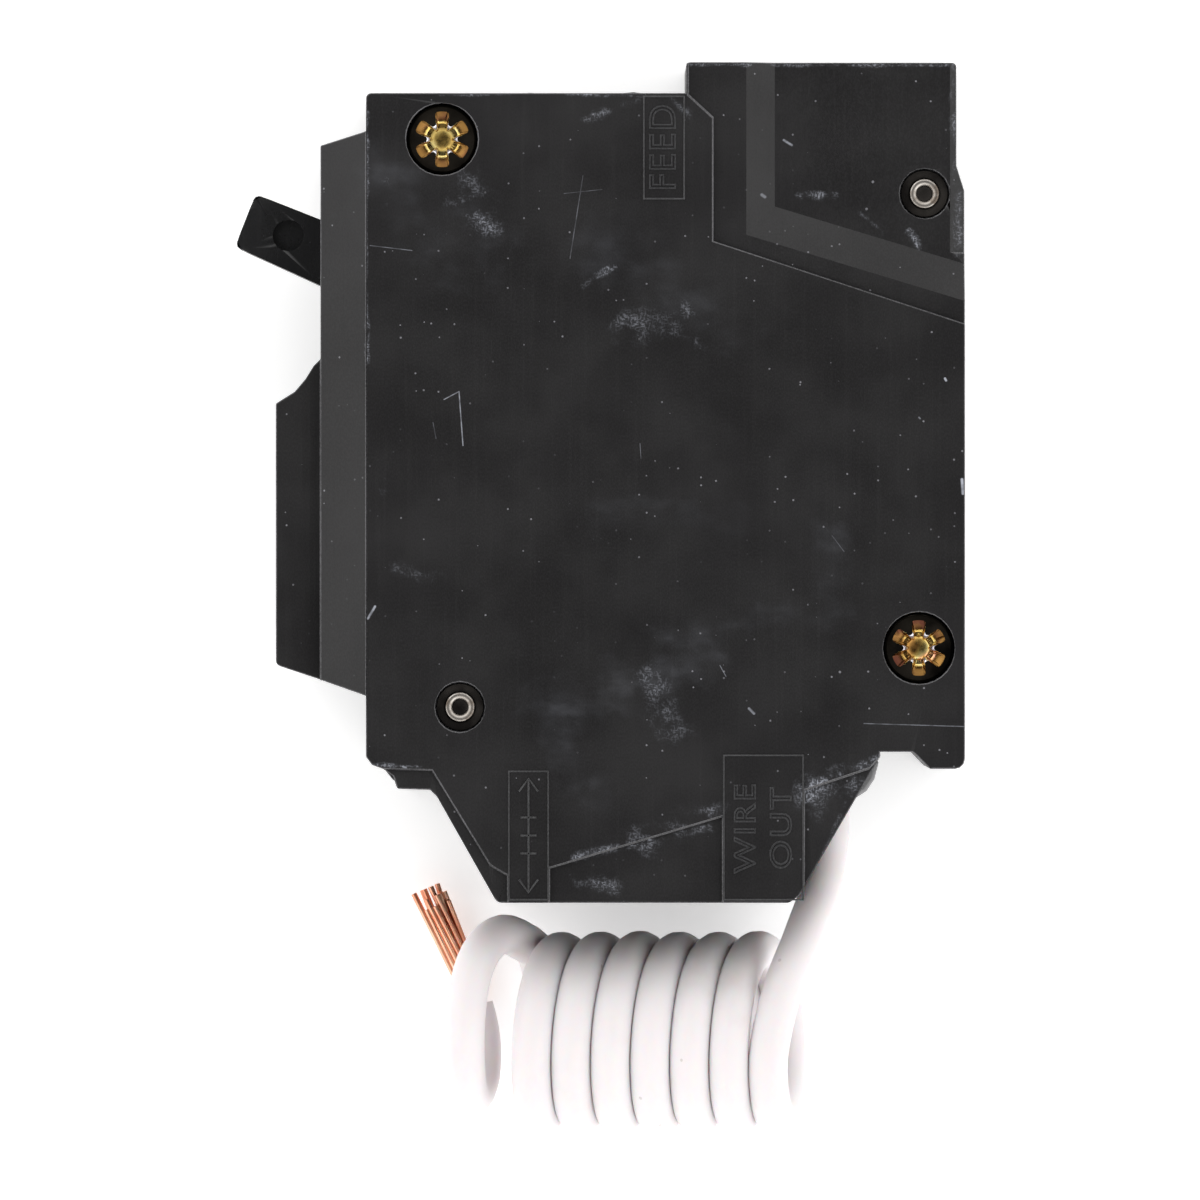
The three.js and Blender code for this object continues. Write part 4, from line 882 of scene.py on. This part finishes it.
def close_rims() -> None:
    """Caps the open rims of the mesh in edit mode, turns its faces out and leaves edit mode."""
    bpy.ops.mesh.select_mode(type="EDGE")
    bpy.ops.mesh.select_all(action="DESELECT")
    bpy.ops.mesh.select_non_manifold()
    bpy.ops.mesh.edge_face_add()
    bpy.ops.mesh.select_all(action="SELECT")
    bpy.ops.mesh.normals_make_consistent(inside=False)
    bpy.ops.object.mode_set(mode="OBJECT")


def turned(
    place: Point, radius: float, steps: list[tuple[float, float]], sides: int
) -> Piece:
    """Turns an upright round solid from rings, each extruded from the last.

    Args:
        place: The middle of its foot.
        radius: The foot's radius.
        steps: Each next ring's radius, and its height above the foot.
        sides: Its sides.

    Returns:
        The solid.
    """
    circle = bpy.ops.mesh.primitive_circle_add
    piece = added(circle, vertices=sides, radius=radius, fill_type="NGON", location=place)
    settle(piece)
    bpy.ops.object.mode_set(mode="EDIT")
    bpy.ops.mesh.select_mode(type="FACE")
    bpy.ops.mesh.select_all(action="SELECT")
    height = 0.0
    for ring, level in steps:
        bpy.ops.mesh.extrude_region_move(
            TRANSFORM_OT_translate={"value": (0.0, 0.0, level - height)}
        )
        bpy.ops.transform.resize(
            value=(ring / radius, ring / radius, 1.0), center_override=(place[0], place[1], 0.0)
        )
        radius, height = ring, level
    close_rims()
    return piece


def welded_copy(node: str) -> Piece:
    """Copies a CAD node, joins its doubled vertices, and leaves the copy in edit mode.

    Args:
        node: The CAD node.

    Returns:
        The copy, with everything in it selected.
    """
    piece = only(placed(f"{node}_finished", frame["nodes"][node].data.copy()))
    bpy.ops.mesh.customdata_custom_splitnormals_clear()
    bpy.ops.object.mode_set(mode="EDIT")
    bpy.ops.mesh.select_all(action="SELECT")
    bpy.ops.mesh.remove_doubles(threshold=WELD)
    return piece


def copied(node: str, *finishes: Finish) -> Piece:
    """Copies a CAD node as one clean shell, ready for its edges to be rounded.

    Args:
        node: The CAD node.
        finishes: Its finish, and that of its worn edges if they differ.

    Returns:
        The copy.
    """
    piece = welded_copy(node)
    bpy.ops.mesh.dissolve_limited(angle_limit=ALMOST_FLAT)
    bpy.ops.mesh.select_all(action="SELECT")
    bpy.ops.mesh.vert_connect_concave()
    bpy.ops.object.mode_set(mode="OBJECT")
    dress(piece, *finishes)
    return piece


def smooth_route(knots: Sequence[Point], steps: int) -> list[Vector]:
    """Runs a smooth line through points.

    Args:
        knots: The points, in millimetres.
        steps: Places along each span.

    Returns:
        The line's places, in metres.
    """
    points = [Vector(knot) * MM for knot in knots]
    padded = [2 * points[0] - points[1], *points, 2 * points[-1] - points[-2]]
    route = []
    for before, start, end, after in zip(padded, padded[1:], padded[2:], padded[3:]):
        for step in range(steps):
            t = step / steps
            route.append(
                0.5
                * (
                    2 * start
                    + (end - before) * t
                    + (2 * before - 5 * start + 4 * end - after) * t**2
                    + (3 * start - before - 3 * end + after) * t**3
                )
            )
    return [*route, points[-1]]


def wire_curve(
    name: str, routes: list[list[Vector]], diameter: float, resolution: int
) -> Piece:
    """Makes round wires along routes, as one curve object.

    Args:
        name: The object's name.
        routes: The places of each wire.
        diameter: The wires' diameter.
        resolution: The bevel's resolution.

    Returns:
        The curve object.
    """
    curve = bpy.data.curves.new(name, "CURVE")
    curve.dimensions = "3D"
    curve.bevel_depth = diameter / 2
    curve.bevel_resolution = resolution
    curve.use_fill_caps = True
    for route in routes:
        spline = curve.splines.new("POLY")
        spline.points.add(len(route) - 1)
        for point, place in zip(spline.points, route):
            point.co = (*place, 1.0)
        spline.use_smooth = True
    return placed(name, curve)


# ---- Studio ------------------------------------------------------------------------------------


@dataclass
class Studio:
    """Camera, pale floor and soft light.

    Attributes:
        distance: From the camera to the near face of the case.
        aim_y: Where the camera's axis meets the near face, along Y.
        span: The width that the picture covers at the near face.
        horizon: The light level of the bright band, well above the horizon.
        ground: The share of that level at the horizon itself.
        zenith: The light level overhead.
        glow: How strongly the floor is lit from within.
        panel_power: The power of each soft panel, in watts.
        panel_size: Each panel's width and height.
        floor_size: The side of the floor.
    """

    distance: float = 1.6
    aim_y: float = -11.75 * MM
    span: float = 120.0 * MM
    horizon: float = 1.6
    ground: float = 0.5
    zenith: float = 0.05
    glow: float = 0.42
    panel_power: float = 1.6
    panel_size: tuple[float, float] = (0.7, 0.9)
    floor_size: float = 4.0

    def build(self) -> None:
        """Builds the camera, the light and the floor."""
        self.camera()
        self.sky()
        self.floor()

    def camera(self) -> None:
        """Places the camera straight above the near face, with the line end up."""
        data = bpy.data.cameras.new("camera")
        data.sensor_width = 36.0
        data.lens = data.sensor_width * self.distance / self.span
        data.clip_start = 0.01
        data.clip_end = 10.0
        camera = placed("camera", data)
        camera.location = (0.0, self.aim_y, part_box("case_cover")[1].z + self.distance)
        bpy.context.scene.camera = camera
        bpy.context.scene.view_settings.view_transform = "Standard"

    def sky(self) -> None:
        """Lights the scene from a dome that is brightest low down, and two large soft panels."""
        world = bpy.data.worlds.new("studio")
        world.use_nodes = True
        tree = world.node_tree
        background = tree.nodes["Background"]
        coords = tree.nodes.new("ShaderNodeTexCoord")
        split = tree.nodes.new("ShaderNodeSeparateXYZ")
        tree.links.new(coords.outputs["Generated"], split.inputs[0])
        both = tree.nodes.new("ShaderNodeMath")
        both.operation = "MULTIPLY"
        ranges = ((0.72, 0.96, self.horizon, self.zenith), (0.0, 0.4, self.ground, 1.0))
        for values, factor in zip(ranges, both.inputs):
            level = tree.nodes.new("ShaderNodeMapRange")
            level.interpolation_type = "SMOOTHSTEP"
            tree.links.new(split.outputs[2], level.inputs[0])
            for target, value in zip(level.inputs[1:5], values):
                target.default_value = value
            tree.links.new(level.outputs[0], factor)
        tree.links.new(both.outputs[0], background.inputs["Strength"])
        background.inputs["Color"].default_value = (1.0, 0.995, 0.99, 1.0)
        bpy.context.scene.world = world
        panels = (("panel_front", (-0.8, 0.75, 0.7)), ("panel_bus", (0.8, -0.7, 0.7)))
        for name, place in panels:
            light = bpy.data.lights.new(name, "AREA")
            light.shape = "RECTANGLE"
            light.size, light.size_y = self.panel_size
            light.energy = self.panel_power
            panel = placed(name, light)
            panel.location = place
            panel.rotation_euler = (-Vector(place)).to_track_quat("-Z", "Y").to_euler()

    def floor(self) -> None:
        """Lays a pale floor under the part."""
        floor = added(bpy.ops.mesh.primitive_plane_add, size=self.floor_size)
        floor.name = "floor"
        shader = Shader("pale_floor")
        tone = shader.between(shader.noise(6.0, 2.0), 0.3, 0.7, 0.0, 1.0)
        shader.set(
            base_color=shader.mixed(tone, (0.94, 0.94, 0.94), (0.96, 0.96, 0.96)),
            roughness=0.9,
            specular_IOR_level=0.1,
            emission_color=(1.0, 1.0, 1.0),
            emission_strength=self.glow,
        )
        floor.data.materials.append(shader.material)


# ---- Pigtail -----------------------------------------------------------------------------------


@dataclass
class Pigtail:
    """The free wire: a lead, six close turns, a loose turn, and bare strands.

    Attributes:
        diameter: The insulation's diameter.
        length: The length of the insulated wire; not used.
        centre: The coil's axis, as y and z in millimetres.
        turn_radius: From the coil's axis to the wire's axis, in millimetres.
        start_x: Where the first turn is lowest on the page, in millimetres.
        pitch: From one turn to the next, in millimetres.
        lean: How far the near side of each turn stands off towards the handle, in millimetres.
        strand: One strand's diameter.
        lead: Where the wire runs from the bushing to the first turn, in millimetres.
        loose: The last, loose turn, in millimetres.
        strand_route: The middle strand, in millimetres.
    """

    diameter: float = 4.0 * MM
    length: float = 0.435
    centre: tuple[float, float] = (-55.5, 10.5)
    turn_radius: float = 8.35
    start_x: float = 17.9
    pitch: float = 3.97
    lean: float = 1.9
    strand: float = 0.58 * MM
    lead: tuple[Point, ...] = (
        (23.2, -30.5, 11.9), (23.2, -32.5, 11.9), (23.15, -35.0, 11.9),
        (22.9, -37.6, 12.0), (22.4, -40.2, 12.9), (21.75, -42.2, 14.1),
        (21.1, -43.8, 15.5), (20.1, -46.4, 17.1), (18.7, -49.8, 18.3),
        (17.7, -53.2, 18.8),
    )
    loose: tuple[Point, ...] = (
        (-6.3, -47.8, 7.4), (-7.8, -46.2, 11.0), (-9.8, -45.4, 14.2),
        (-11.6, -46.6, 16.8), (-12.8, -49.2, 18.3), (-13.4, -52.6, 18.9),
        (-13.6, -56.2, 18.4), (-13.5, -59.6, 15.9), (-13.2, -61.6, 12.2),
        (-12.6, -61.5, 8.4), (-12.1, -59.9, 5.0), (-12.0, -57.2, 2.8),
        (-12.3, -54.8, 2.4), (-12.8, -52.9, 2.35),
    )
    strand_route: tuple[Point, ...] = (
        (-12.7, -53.4, 2.35), (-13.0, -51.9, 2.35), (-13.9, -49.3, 2.4),
        (-15.5, -45.4, 2.7), (-17.4, -40.9, 3.1),
    )

    def turns(self) -> list[Point]:
        """Winds the close turns, twelve points to a turn, each turn a little different.

        Returns:
            The points, in millimetres.
        """
        y, z = self.centre
        points = []
        for degrees in range(105, 2450, 30):
            angle = math.radians(degrees)
            radius = self.turn_radius + 0.06 * math.sin(0.31 * angle)
            x = self.start_x - self.pitch * (degrees - 180) / 360 - self.lean * math.sin(angle)
            points.append((x, y + radius * math.cos(angle), z + radius * math.sin(angle)))
        return points

    def build(self) -> None:
        route = smooth_route([*self.lead, *self.turns(), *self.loose], 3)
        wire = wire_curve("pigtail_wire", [route], self.diameter, 8)
        wire.data.materials.append(FINISHES["wire"].material())
        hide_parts("pigtail_lead", "pigtail_coil", "pigtail_tail")
        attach(wire, "case")
        strands = self.strands()

    def strands(self) -> Piece:
        """Builds the bare strands, which part from each other towards their ends.

        Returns:
            The strands, as one piece.
        """
        spine = smooth_route(self.strand_route, 5)
        places = [(0.0, 0.0)]
        for ring, count in ((1, 6), (2, 12)):
            for index in range(count):
                angle = 2 * math.pi * (index / count) + 0.35 * ring
                places.append((ring * math.cos(angle), ring * math.sin(angle)))
        routes = []
        for index, (u, v) in enumerate(places):
            wobble = math.sin(2.3 * index + 0.7)
            reach = 0.86 + 0.14 * math.sin(1.7 * index) ** 2
            count = max(6, round(len(spine) * reach))
            route = []
            for step, place in enumerate(spine[:count]):
                t = step / (len(spine) - 1)
                ahead = spine[min(step + 1, len(spine) - 1)] - spine[max(step - 1, 0)]
                side = ahead.cross(Vector((0, 0, 1))).normalized()
                spread = 0.5 * MM * (0.97 + 0.42 * t**2)
                lift = 0.47 * MM * (0.97 + 0.12 * t)
                twist = 0.9 * t
                a = u * math.cos(twist) - v * math.sin(twist)
                b = u * math.sin(twist) + v * math.cos(twist)
                stray = side * (0.22 * MM * wobble * t**2)
                route.append(place + side * a * spread + Vector((0, 0, b * lift)) + stray)
            routes.append(route)
        piece = wire_curve("copper_strands", routes, self.strand, 3)
        only(piece)
        bpy.ops.object.convert(target="MESH")
        return finish_piece(bpy.context.object, [FINISHES["copper"]], "case", ("pigtail_strands",))


# ---- Case --------------------------------------------------------------------------------------


class Word(Enum):
    """The generic words moulded in the near face."""

    SUPPLY = "FEED"
    LEAD = "WIRE"
    LOAD = "OUT"


@dataclass
class Case:
    """The two moulded halves and what is moulded in the near face.

    Attributes:
        edge: The rounding of its edges.
        line: The width of the moulded outlines.
        proud: How far the outlines stand above the face.
        sunk: How far the outlines reach into the face.
    """

    edge: float = 0.1 * MM
    line: float = 0.17 * MM
    proud: float = 0.1 * MM
    sunk: float = 0.1 * MM

    def build(self) -> None:
        """Builds the halves, the frames, the words and the strip gauge."""
        for node, finish in (("case_cover", "near_case"), ("case_base", "far_case")):
            finishes = [FINISHES[finish], FINISHES["edge"]]
            piece = copied(node, *finishes)
            if node == "case_cover":
                cut_away(piece, self.bus_edge_cutter())
            # The roundings take the pale worn edge, partly wear and partly a painted highlight
            # along every edge.
            round_edges(piece, self.edge, 2, worn=True, clamp=False, angle=34.0)
            finish_piece(piece, finishes, "case", (node,))
        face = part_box("case_cover")[1].z
        frames = [
            self.outline_box(4.3, 8.5, 28.3, 38.7, face),
            self.outline_box(-9.2, -5.1, -41.8, -28.8, face),
            self.outline_box(12.3, 20.4, -41.8, -27.2, face),
        ]
        words = [
            self.word(Word.SUPPLY, 6.4, 33.5, 3.7, 8.4, face),
            self.word(Word.LEAD, 14.6, -34.6, 3.0, 9.0, face),
            self.word(Word.LOAD, 18.2, -34.6, 3.0, 8.2, face),
        ]
        gauge = self.gauge(-7.15, -41.2, -29.4, face)
        piece = merge([*frames, *words, *gauge], "moulded_marks")
        # The moulded marks take a paler phenolic as a painted highlight on their edges.
        finish_piece(piece, [FINISHES["relief"]], "case")

    def bus_edge_cutter(self) -> Piece:
        """Makes the slanted block that bevels the pocket's edge on the bus side.

        Returns:
            The block.
        """
        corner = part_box("case_rivet_line")[1]
        floor = corner.z + 0.3 * MM
        block = added(bpy.ops.mesh.primitive_cube_add, size=1.0)
        block.scale = (6.0 * MM, 30.0 * MM, 2.0 * MM)
        block.location = (3.0 * MM, 15.0 * MM, 1.0 * MM)
        settle(block)
        block.rotation_euler = (0.0, math.radians(30.0), 0.0)
        block.location = (corner.x + 0.25 * MM, 23.0 * MM, floor)
        settle(block)
        return block

    def outline_box(
        self, x0: float, x1: float, y0: float, y1: float, face: float
    ) -> Piece:
        """Raises a thin rectangular outline from the face.

        Args:
            x0: Its left side, in millimetres.
            x1: Its right side.
            y0: Its lower side.
            y1: Its upper side.
            face: The face's height in metres.

        Returns:
            The outline.
        """
        piece = added(bpy.ops.mesh.primitive_plane_add, size=1.0)
        piece.scale = ((x1 - x0) * MM, (y1 - y0) * MM, 1.0)
        piece.location = ((x0 + x1) / 2 * MM, (y0 + y1) / 2 * MM, face - self.sunk)
        settle(piece)
        bpy.ops.object.mode_set(mode="EDIT")
        bpy.ops.mesh.select_all(action="SELECT")
        bpy.ops.mesh.inset(thickness=self.line, depth=0.0)
        bpy.ops.mesh.delete(type="FACE")
        bpy.ops.mesh.select_all(action="SELECT")
        bpy.ops.mesh.extrude_region_move(
            TRANSFORM_OT_translate={"value": (0.0, 0.0, self.proud + self.sunk)}
        )
        bpy.ops.mesh.select_all(action="SELECT")
        bpy.ops.mesh.normals_make_consistent(inside=False)
        bpy.ops.object.mode_set(mode="OBJECT")
        round_edges(piece, 0.05 * MM, 1)
        return piece

    def word(
        self, word: Word, x: float, y: float, size: float, length: float, face: float
    ) -> Piece:
        """Moulds a word as thin outlines that read from the load end up.

        Args:
            word: The word.
            x: Its middle, in millimetres.
            y: Its middle, in millimetres.
            size: Its letter size, in millimetres.
            length: The whole word's length, in millimetres.
            face: The face's height in metres.

        Returns:
            The outlines of its letters.
        """
        piece = added(bpy.ops.object.text_add, rotation=(0.0, 0.0, math.pi / 2))
        text = piece.data
        text.body = word.value
        text.size = size * MM
        text.space_character = 1.15
        text.align_x = "CENTER"
        text.align_y = "CENTER"
        text.fill_mode = "NONE"
        text.bevel_depth = 0.09 * MM
        text.bevel_resolution = 1
        text.resolution_u = 4
        bpy.context.view_layer.update()
        piece.scale.x = length * MM / piece.dimensions.x
        piece.location = (x * MM, y * MM, face)
        bpy.ops.object.convert(target="MESH")
        piece = bpy.context.object
        settle(piece)
        bpy.ops.object.shade_smooth_by_angle(angle=math.radians(40.0))
        return piece

    def gauge(self, x: float, y0: float, y1: float, face: float) -> list[Piece]:
        """Moulds the strip gauge: a double arrow with three ticks across it.

        Args:
            x: Its middle line, in millimetres.
            y0: Its lower end.
            y1: Its upper end.
            face: The face's height in metres.

        Returns:
            Its pieces.
        """
        head = 1.3
        lines = [[(x, y0 + 0.3, 0.0), (x, y1 - 0.3, 0.0)]]
        for end, inwards in ((y0, head), (y1, -head)):
            tip = end + 0.2 * math.copysign(1.0, inwards)
            barbs = [(x + side, tip + inwards, 0.0) for side in (-0.95, 0.95)]
            lines.append([barbs[0], (x, tip, 0.0), barbs[1]])
        for y in (y0 + 4.1, (y0 + y1) / 2, y1 - 4.1):
            lines.append([(x - 0.8, y, 0.0), (x + 0.8, y, 0.0)])
        routes = [[Vector(point) * MM + Vector((0, 0, face)) for point in line] for line in lines]
        piece = wire_curve("strip_gauge", routes, 0.24 * MM, 1)
        only(piece)
        bpy.ops.object.convert(target="MESH")
        return [bpy.context.object]


@dataclass
class CaseScrews:
    """The six-lobe screws, deep in their wells.

    Attributes:
        nodes: The CAD nodes that they replace.
        head_height: The height of the head.
        recess: The depth of the recess.
        lobe_reach: From the screw's axis to a lobe's outer end, at the top.
        waist: From the axis to the narrow places between lobes.
        floor: The radius of the recess's dished floor.
        shank: The radius of the shank.
        edge: The rounding of the head's edges.
        lobes: How many lobes the recess has.
    """

    nodes: tuple[str, ...] = ("case_screw_line", "case_screw_load")
    head_height: float = 2.0 * MM
    recess: float = 1.3 * MM
    lobe_reach: float = 2.78 * MM
    waist: float = 1.5 * MM
    floor: float = 1.2 * MM
    shank: float = 1.5 * MM
    edge: float = 0.05 * MM
    lobes: int = 6

    def build(self) -> None:
        """Builds each screw at its node's place."""
        for node in self.nodes:
            low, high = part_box(node)
            place = ((low.x + high.x) / 2, (low.y + high.y) / 2, low.z)
            radius = (high.x - low.x) / 2
            top = high.z - low.z
            under = top - self.head_height
            head = turned(
                place,
                self.shank,
                [
                    (self.shank, under),
                    (radius, under),
                    (radius, top - 0.15 * MM),
                    (radius * 0.96, top),
                ],
                72,
            )
            cut_away(head, self.recess_cutter(place, high.z))
            for face in head.data.polygons:
                face.material_index = self.colour_of(face, place, high.z)
            round_edges(head, self.edge, 2)
            head.name = head.data.name = f"{node}_finished"
            # Slots: painted shade, yellow zinc, bronze in painted shade, painted highlight.
            finishes = [
                FINISHES[name] for name in ("zinc_in_shade", "yellow_zinc", "shaded_bronze", "zinc_highlight")
            ]
            finish_piece(head, finishes, "case", (node,))

    def colour_of(self, face: bpy.types.MeshPolygon, place: Point, top: float) -> int:
        """Chooses a face's finish: painted shade outside, then bronze in painted shade, a painted
        highlight or gold inside the recess.

        Args:
            face: The face.
            place: A point on the screw's axis.
            top: The top of the head.

        Returns:
            The finish's slot.
        """
        offset = face.center.xy - Vector(place[:2])
        reach, depth = offset.length, top - face.center.z
        # The head's top and sides and the deepest part of the recess take the near-black painted
        # shade.
        if reach > self.lobe_reach or depth > self.recess * 1.3 or depth < 0.02 * MM:
            return 0
        swing = math.cos(self.lobes * (math.atan2(offset.y, offset.x) - math.pi / 2))
        # The ridges between the lobes take the pale painted highlight.
        if reach > 1.15 * MM and swing < -0.55 and depth < 1.0 * MM:
            return 3
        # The lobes' outer slopes and a ring round the floor take the bronze darkened as painted
        # shade; the rest is gold.
        return 2 if reach > 1.85 * MM or self.floor < reach < self.floor * 1.15 else 1

    def recess_cutter(self, place: Point, top: float) -> Piece:
        """Makes the six-lobe cutter, which narrows in two slopes and ends in a dished floor.

        Args:
            place: A point on the screw's axis.
            top: The top of the head.

        Returns:
            The cutter.
        """
        circle = bpy.ops.mesh.primitive_circle_add
        piece = added(circle, vertices=144, radius=1.0, fill_type="NGON")
        for vertex in piece.data.vertices:
            swing = math.cos(self.lobes * (math.atan2(vertex.co.y, vertex.co.x) - math.pi / 2))
            lobe = 1 / (1 + math.exp(-6.0 * (swing + 0.32)))
            vertex.co *= self.waist + (self.lobe_reach - self.waist) * lobe
        piece.location = (place[0], place[1], top + 0.3 * MM)
        settle(piece)
        axis = (place[0], place[1], 0.0)
        bpy.ops.object.mode_set(mode="EDIT")
        bpy.ops.mesh.select_mode(type="FACE")
        bpy.ops.mesh.select_all(action="SELECT")
        for drop, share in ((0.3, 1.0), (0.7, 0.68), (0.3, 0.86), (0.02, 0.7), (0.22, 0.55)):
            bpy.ops.mesh.extrude_region_move(
                TRANSFORM_OT_translate={"value": (0.0, 0.0, -drop * MM)}
            )
            bpy.ops.transform.resize(value=(share, share, 1.0), center_override=axis)
        close_rims()
        floor = turned(
            (place[0], place[1], top - self.recess - 0.12 * MM),
            0.45 * MM,
            [(self.floor * 0.8, 0.07 * MM), (self.floor, 0.18 * MM), (self.floor, 0.5 * MM)],
            72,
        )
        join = piece.modifiers.new("dished floor", "BOOLEAN")
        join.operation = "UNION"
        join.solver = "EXACT"
        join.object = floor
        apply_modifiers(piece)
        bpy.data.objects.remove(floor)
        return piece


@dataclass
class CaseRivets:
    """The tubular rivets, rolled over in their recesses.

    Attributes:
        nodes: The CAD nodes that they replace.
        bore: The radius of the hole.
        roll: The outer radius of the rolled end.
        shank: The radius of the shank.
        flange: How far the flange lies below the rolled end.
    """

    nodes: tuple[str, ...] = ("case_rivet_load", "case_rivet_line")
    bore: float = 0.78 * MM
    roll: float = 1.5 * MM
    shank: float = 1.3 * MM
    flange: float = 0.42 * MM

    def build(self) -> None:
        """Builds each rivet at its node's place, as a flange with a rolled collar."""
        for node in self.nodes:
            low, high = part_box(node)
            place = ((low.x + high.x) / 2, (low.y + high.y) / 2, low.z)
            radius = (high.x - low.x) / 2
            top = high.z - low.z
            profile = [
                (self.shank, top - 0.6 * MM),
                (radius, top - 0.6 * MM),
                (radius, top - self.flange),
                (self.roll + 0.1 * MM, top - self.flange),
                (self.roll + 0.02 * MM, top - self.flange * 0.5),
                (self.roll - 0.06 * MM, top - 0.08 * MM),
                (self.roll - 0.18 * MM, top),
                (self.bore + 0.2 * MM, top - 0.07 * MM),
                (self.bore, top - 0.25 * MM),
                (self.bore - 0.06 * MM, top - 0.8 * MM),
                (self.bore - 0.5 * MM, top - 0.9 * MM),
            ]
            rivet = turned(place, self.shank, profile, 56)
            # The rolled collar's top takes the rolled steel; the flange, the collar's outside and
            # the bore below half a millimetre take the plated steel painted dark as shade.
            for face in rivet.data.polygons:
                reach = (face.center.xy - Vector(place[:2])).length
                face.material_index = int(
                    reach < self.roll * 0.97 and face.center.z > high.z - 0.5 * MM
                )
            only(rivet)
            bpy.ops.object.shade_smooth_by_angle(angle=math.radians(50.0))
            rivet.name = rivet.data.name = f"{node}_finished"
            finishes = [FINISHES["steel_in_shade"], FINISHES["rolled_steel"]]
            finish_piece(rivet, finishes, "case", (node,))


# ---- Everything whose CAD shape is right -------------------------------------------------------


@dataclass(frozen=True)
class Dressed:
    """CAD nodes that keep their shape, with their edges rounded.

    Attributes:
        nodes: The CAD nodes, with spaces between them.
        finish: The key of their finish.
        edge: The rounding's width, in millimetres.
        segments: Faces across the rounding.
    """

    nodes: str
    finish: str
    edge: float = 0.12
    segments: int = 2


@dataclass
class Fittings:
    """Handle, button, bushing, lugs, and everything inside the case.

    Attributes:
        pieces: The nodes whose edges are rounded.
        plain: The round wires and springs, which are smoothed.
        tip_reach: How far in from the handle's outer end its rounded corners may lie.
        tip_round: The rounding of those corners.
    """

    pieces: tuple[Dressed, ...] = (
        Dressed("handle", "handle", 0.18),
        Dressed("test_button", "button", 0.35, 3),
        Dressed("pigtail_bushing", "grey", 0.35, 3),
        Dressed("lug_screw_1 lug_screw_2", "yellow_zinc", 0.2),
        Dressed("lug_cage_1 lug_cage_2", "steel", 0.2),
        Dressed("load_tongue_1 load_tongue_2", "copper"),
        Dressed("line_jaw", "copper", 0.15),
        Dressed("jaw_spring", "spring", 0.1),
        Dressed("line_conductor", "copper", 0.15),
        Dressed("contact_arm", "copper", 0.2),
        Dressed("moving_contact stationary_contact", "silver", 0.2, 3),
        Dressed("drive_link", "steel"),
        Dressed("arm_pivot_pin trip_pivot_pin", "steel", 0.15),
        Dressed("armature_pin arc_plate_1 arc_plate_2 arc_plate_3 arc_plate_4", "steel", 0.1),
        Dressed("arc_chute_wall_far arc_chute_wall_near", "fibre", 0.08),
        Dressed("lug_barrier", "fibre", 0.1),
        Dressed("trip_lever bimetal", "steel"),
        Dressed("bimetal_bracket", "copper"),
        Dressed("calibration_screw", "yellow_zinc"),
        Dressed("magnet_yoke armature", "steel"),
        Dressed("solenoid_coil", "magnet_wire", 0.15),
        Dressed("solenoid_frame", "steel"),
        Dressed("solenoid_plunger", "steel", 0.15),
        Dressed("test_contact_leaf", "copper", 0.08),
        Dressed("circuit_board", "laminate", 0.1),
        Dressed("current_sensor_1 current_sensor_2", "resin", 0.5, 3),
        Dressed("capacitor", "resin", 0.4, 3),
        Dressed("varistor", "blue", 0.6, 3),
        Dressed("flexible_braid", "copper", 0.15),
    )
    plain: tuple[Dressed, ...] = (
        Dressed("opening_spring trip_spring plunger_spring test_button_spring", "spring"),
        Dressed("load_conductor", "copper"),
        Dressed("neutral_conductor pigtail_inner_lead", "wire"),
    )
    tip_reach: float = 3.2 * MM
    tip_round: float = 0.9 * MM

    def build(self) -> None:
        """Rounds and dresses each piece, and smooths the wires and springs."""
        for item in self.pieces:
            finish = FINISHES[item.finish]
            for node in item.nodes.split():
                piece = copied(node, finish)
                if node == "handle":
                    self.round_tip(piece)
                round_edges(piece, item.edge * MM, item.segments)
                finish_piece(piece, [finish], self.body(node), (node,))
        for item in self.plain:
            for node in item.nodes.split():
                piece = self.smoothed(node)
                finish_piece(piece, [FINISHES[item.finish]], self.body(node), (node,))

    def round_tip(self, handle: Piece) -> None:
        """Rounds the two upright corners at the handle's outer end.

        Args:
            handle: The handle's copy.
        """
        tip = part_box("handle")[0].x + self.tip_reach
        mesh = handle.data
        mesh.polygons.foreach_set("select", [False] * len(mesh.polygons))
        ends: set[int] = set()
        for edge in mesh.edges:
            start, end = (mesh.vertices[index].co for index in edge.vertices)
            upright = (start - end).xy.length < 1e-5 and abs(start.z - end.z) > 4.0 * MM
            edge.select = upright and start.x < tip
            if edge.select:
                ends.update(edge.vertices)
        for vertex in mesh.vertices:
            vertex.select = vertex.index in ends
        only(handle)
        bpy.ops.object.mode_set(mode="EDIT")
        bpy.ops.mesh.select_mode(type="EDGE")
        bpy.ops.mesh.bevel(offset=self.tip_round, segments=5, affect="EDGES")
        bpy.ops.object.mode_set(mode="OBJECT")

    def body(self, node: str) -> str:
        """The body that a node belongs to."""
        bodies = frame["record"]["behaviour"]["bodies"]
        return next(name for name, members in bodies.items() if node in members)

    def smoothed(self, node: str) -> Piece:
        """Copies a round wire or spring with a finer, smooth section.

        Args:
            node: The CAD node.

        Returns:
            The copy.
        """
        piece = welded_copy(node)
        bpy.ops.mesh.tris_convert_to_quads()
        bpy.ops.object.mode_set(mode="OBJECT")
        rounder = piece.modifiers.new("finer section", "SUBSURF")
        rounder.levels = 1
        rounder.render_levels = 1
        apply_modifiers(piece)
        bpy.ops.object.shade_smooth()
        return piece


def main() -> None:
    """Builds the studio, the pigtail, the case and the fittings."""
    Studio().build()
    Pigtail().build()
    Case().build()
    CaseScrews().build()
    CaseRivets().build()
    Fittings().build()


if __name__ == "__main__":
    logging.basicConfig(level=logging.INFO, format="%(message)s")
    main()
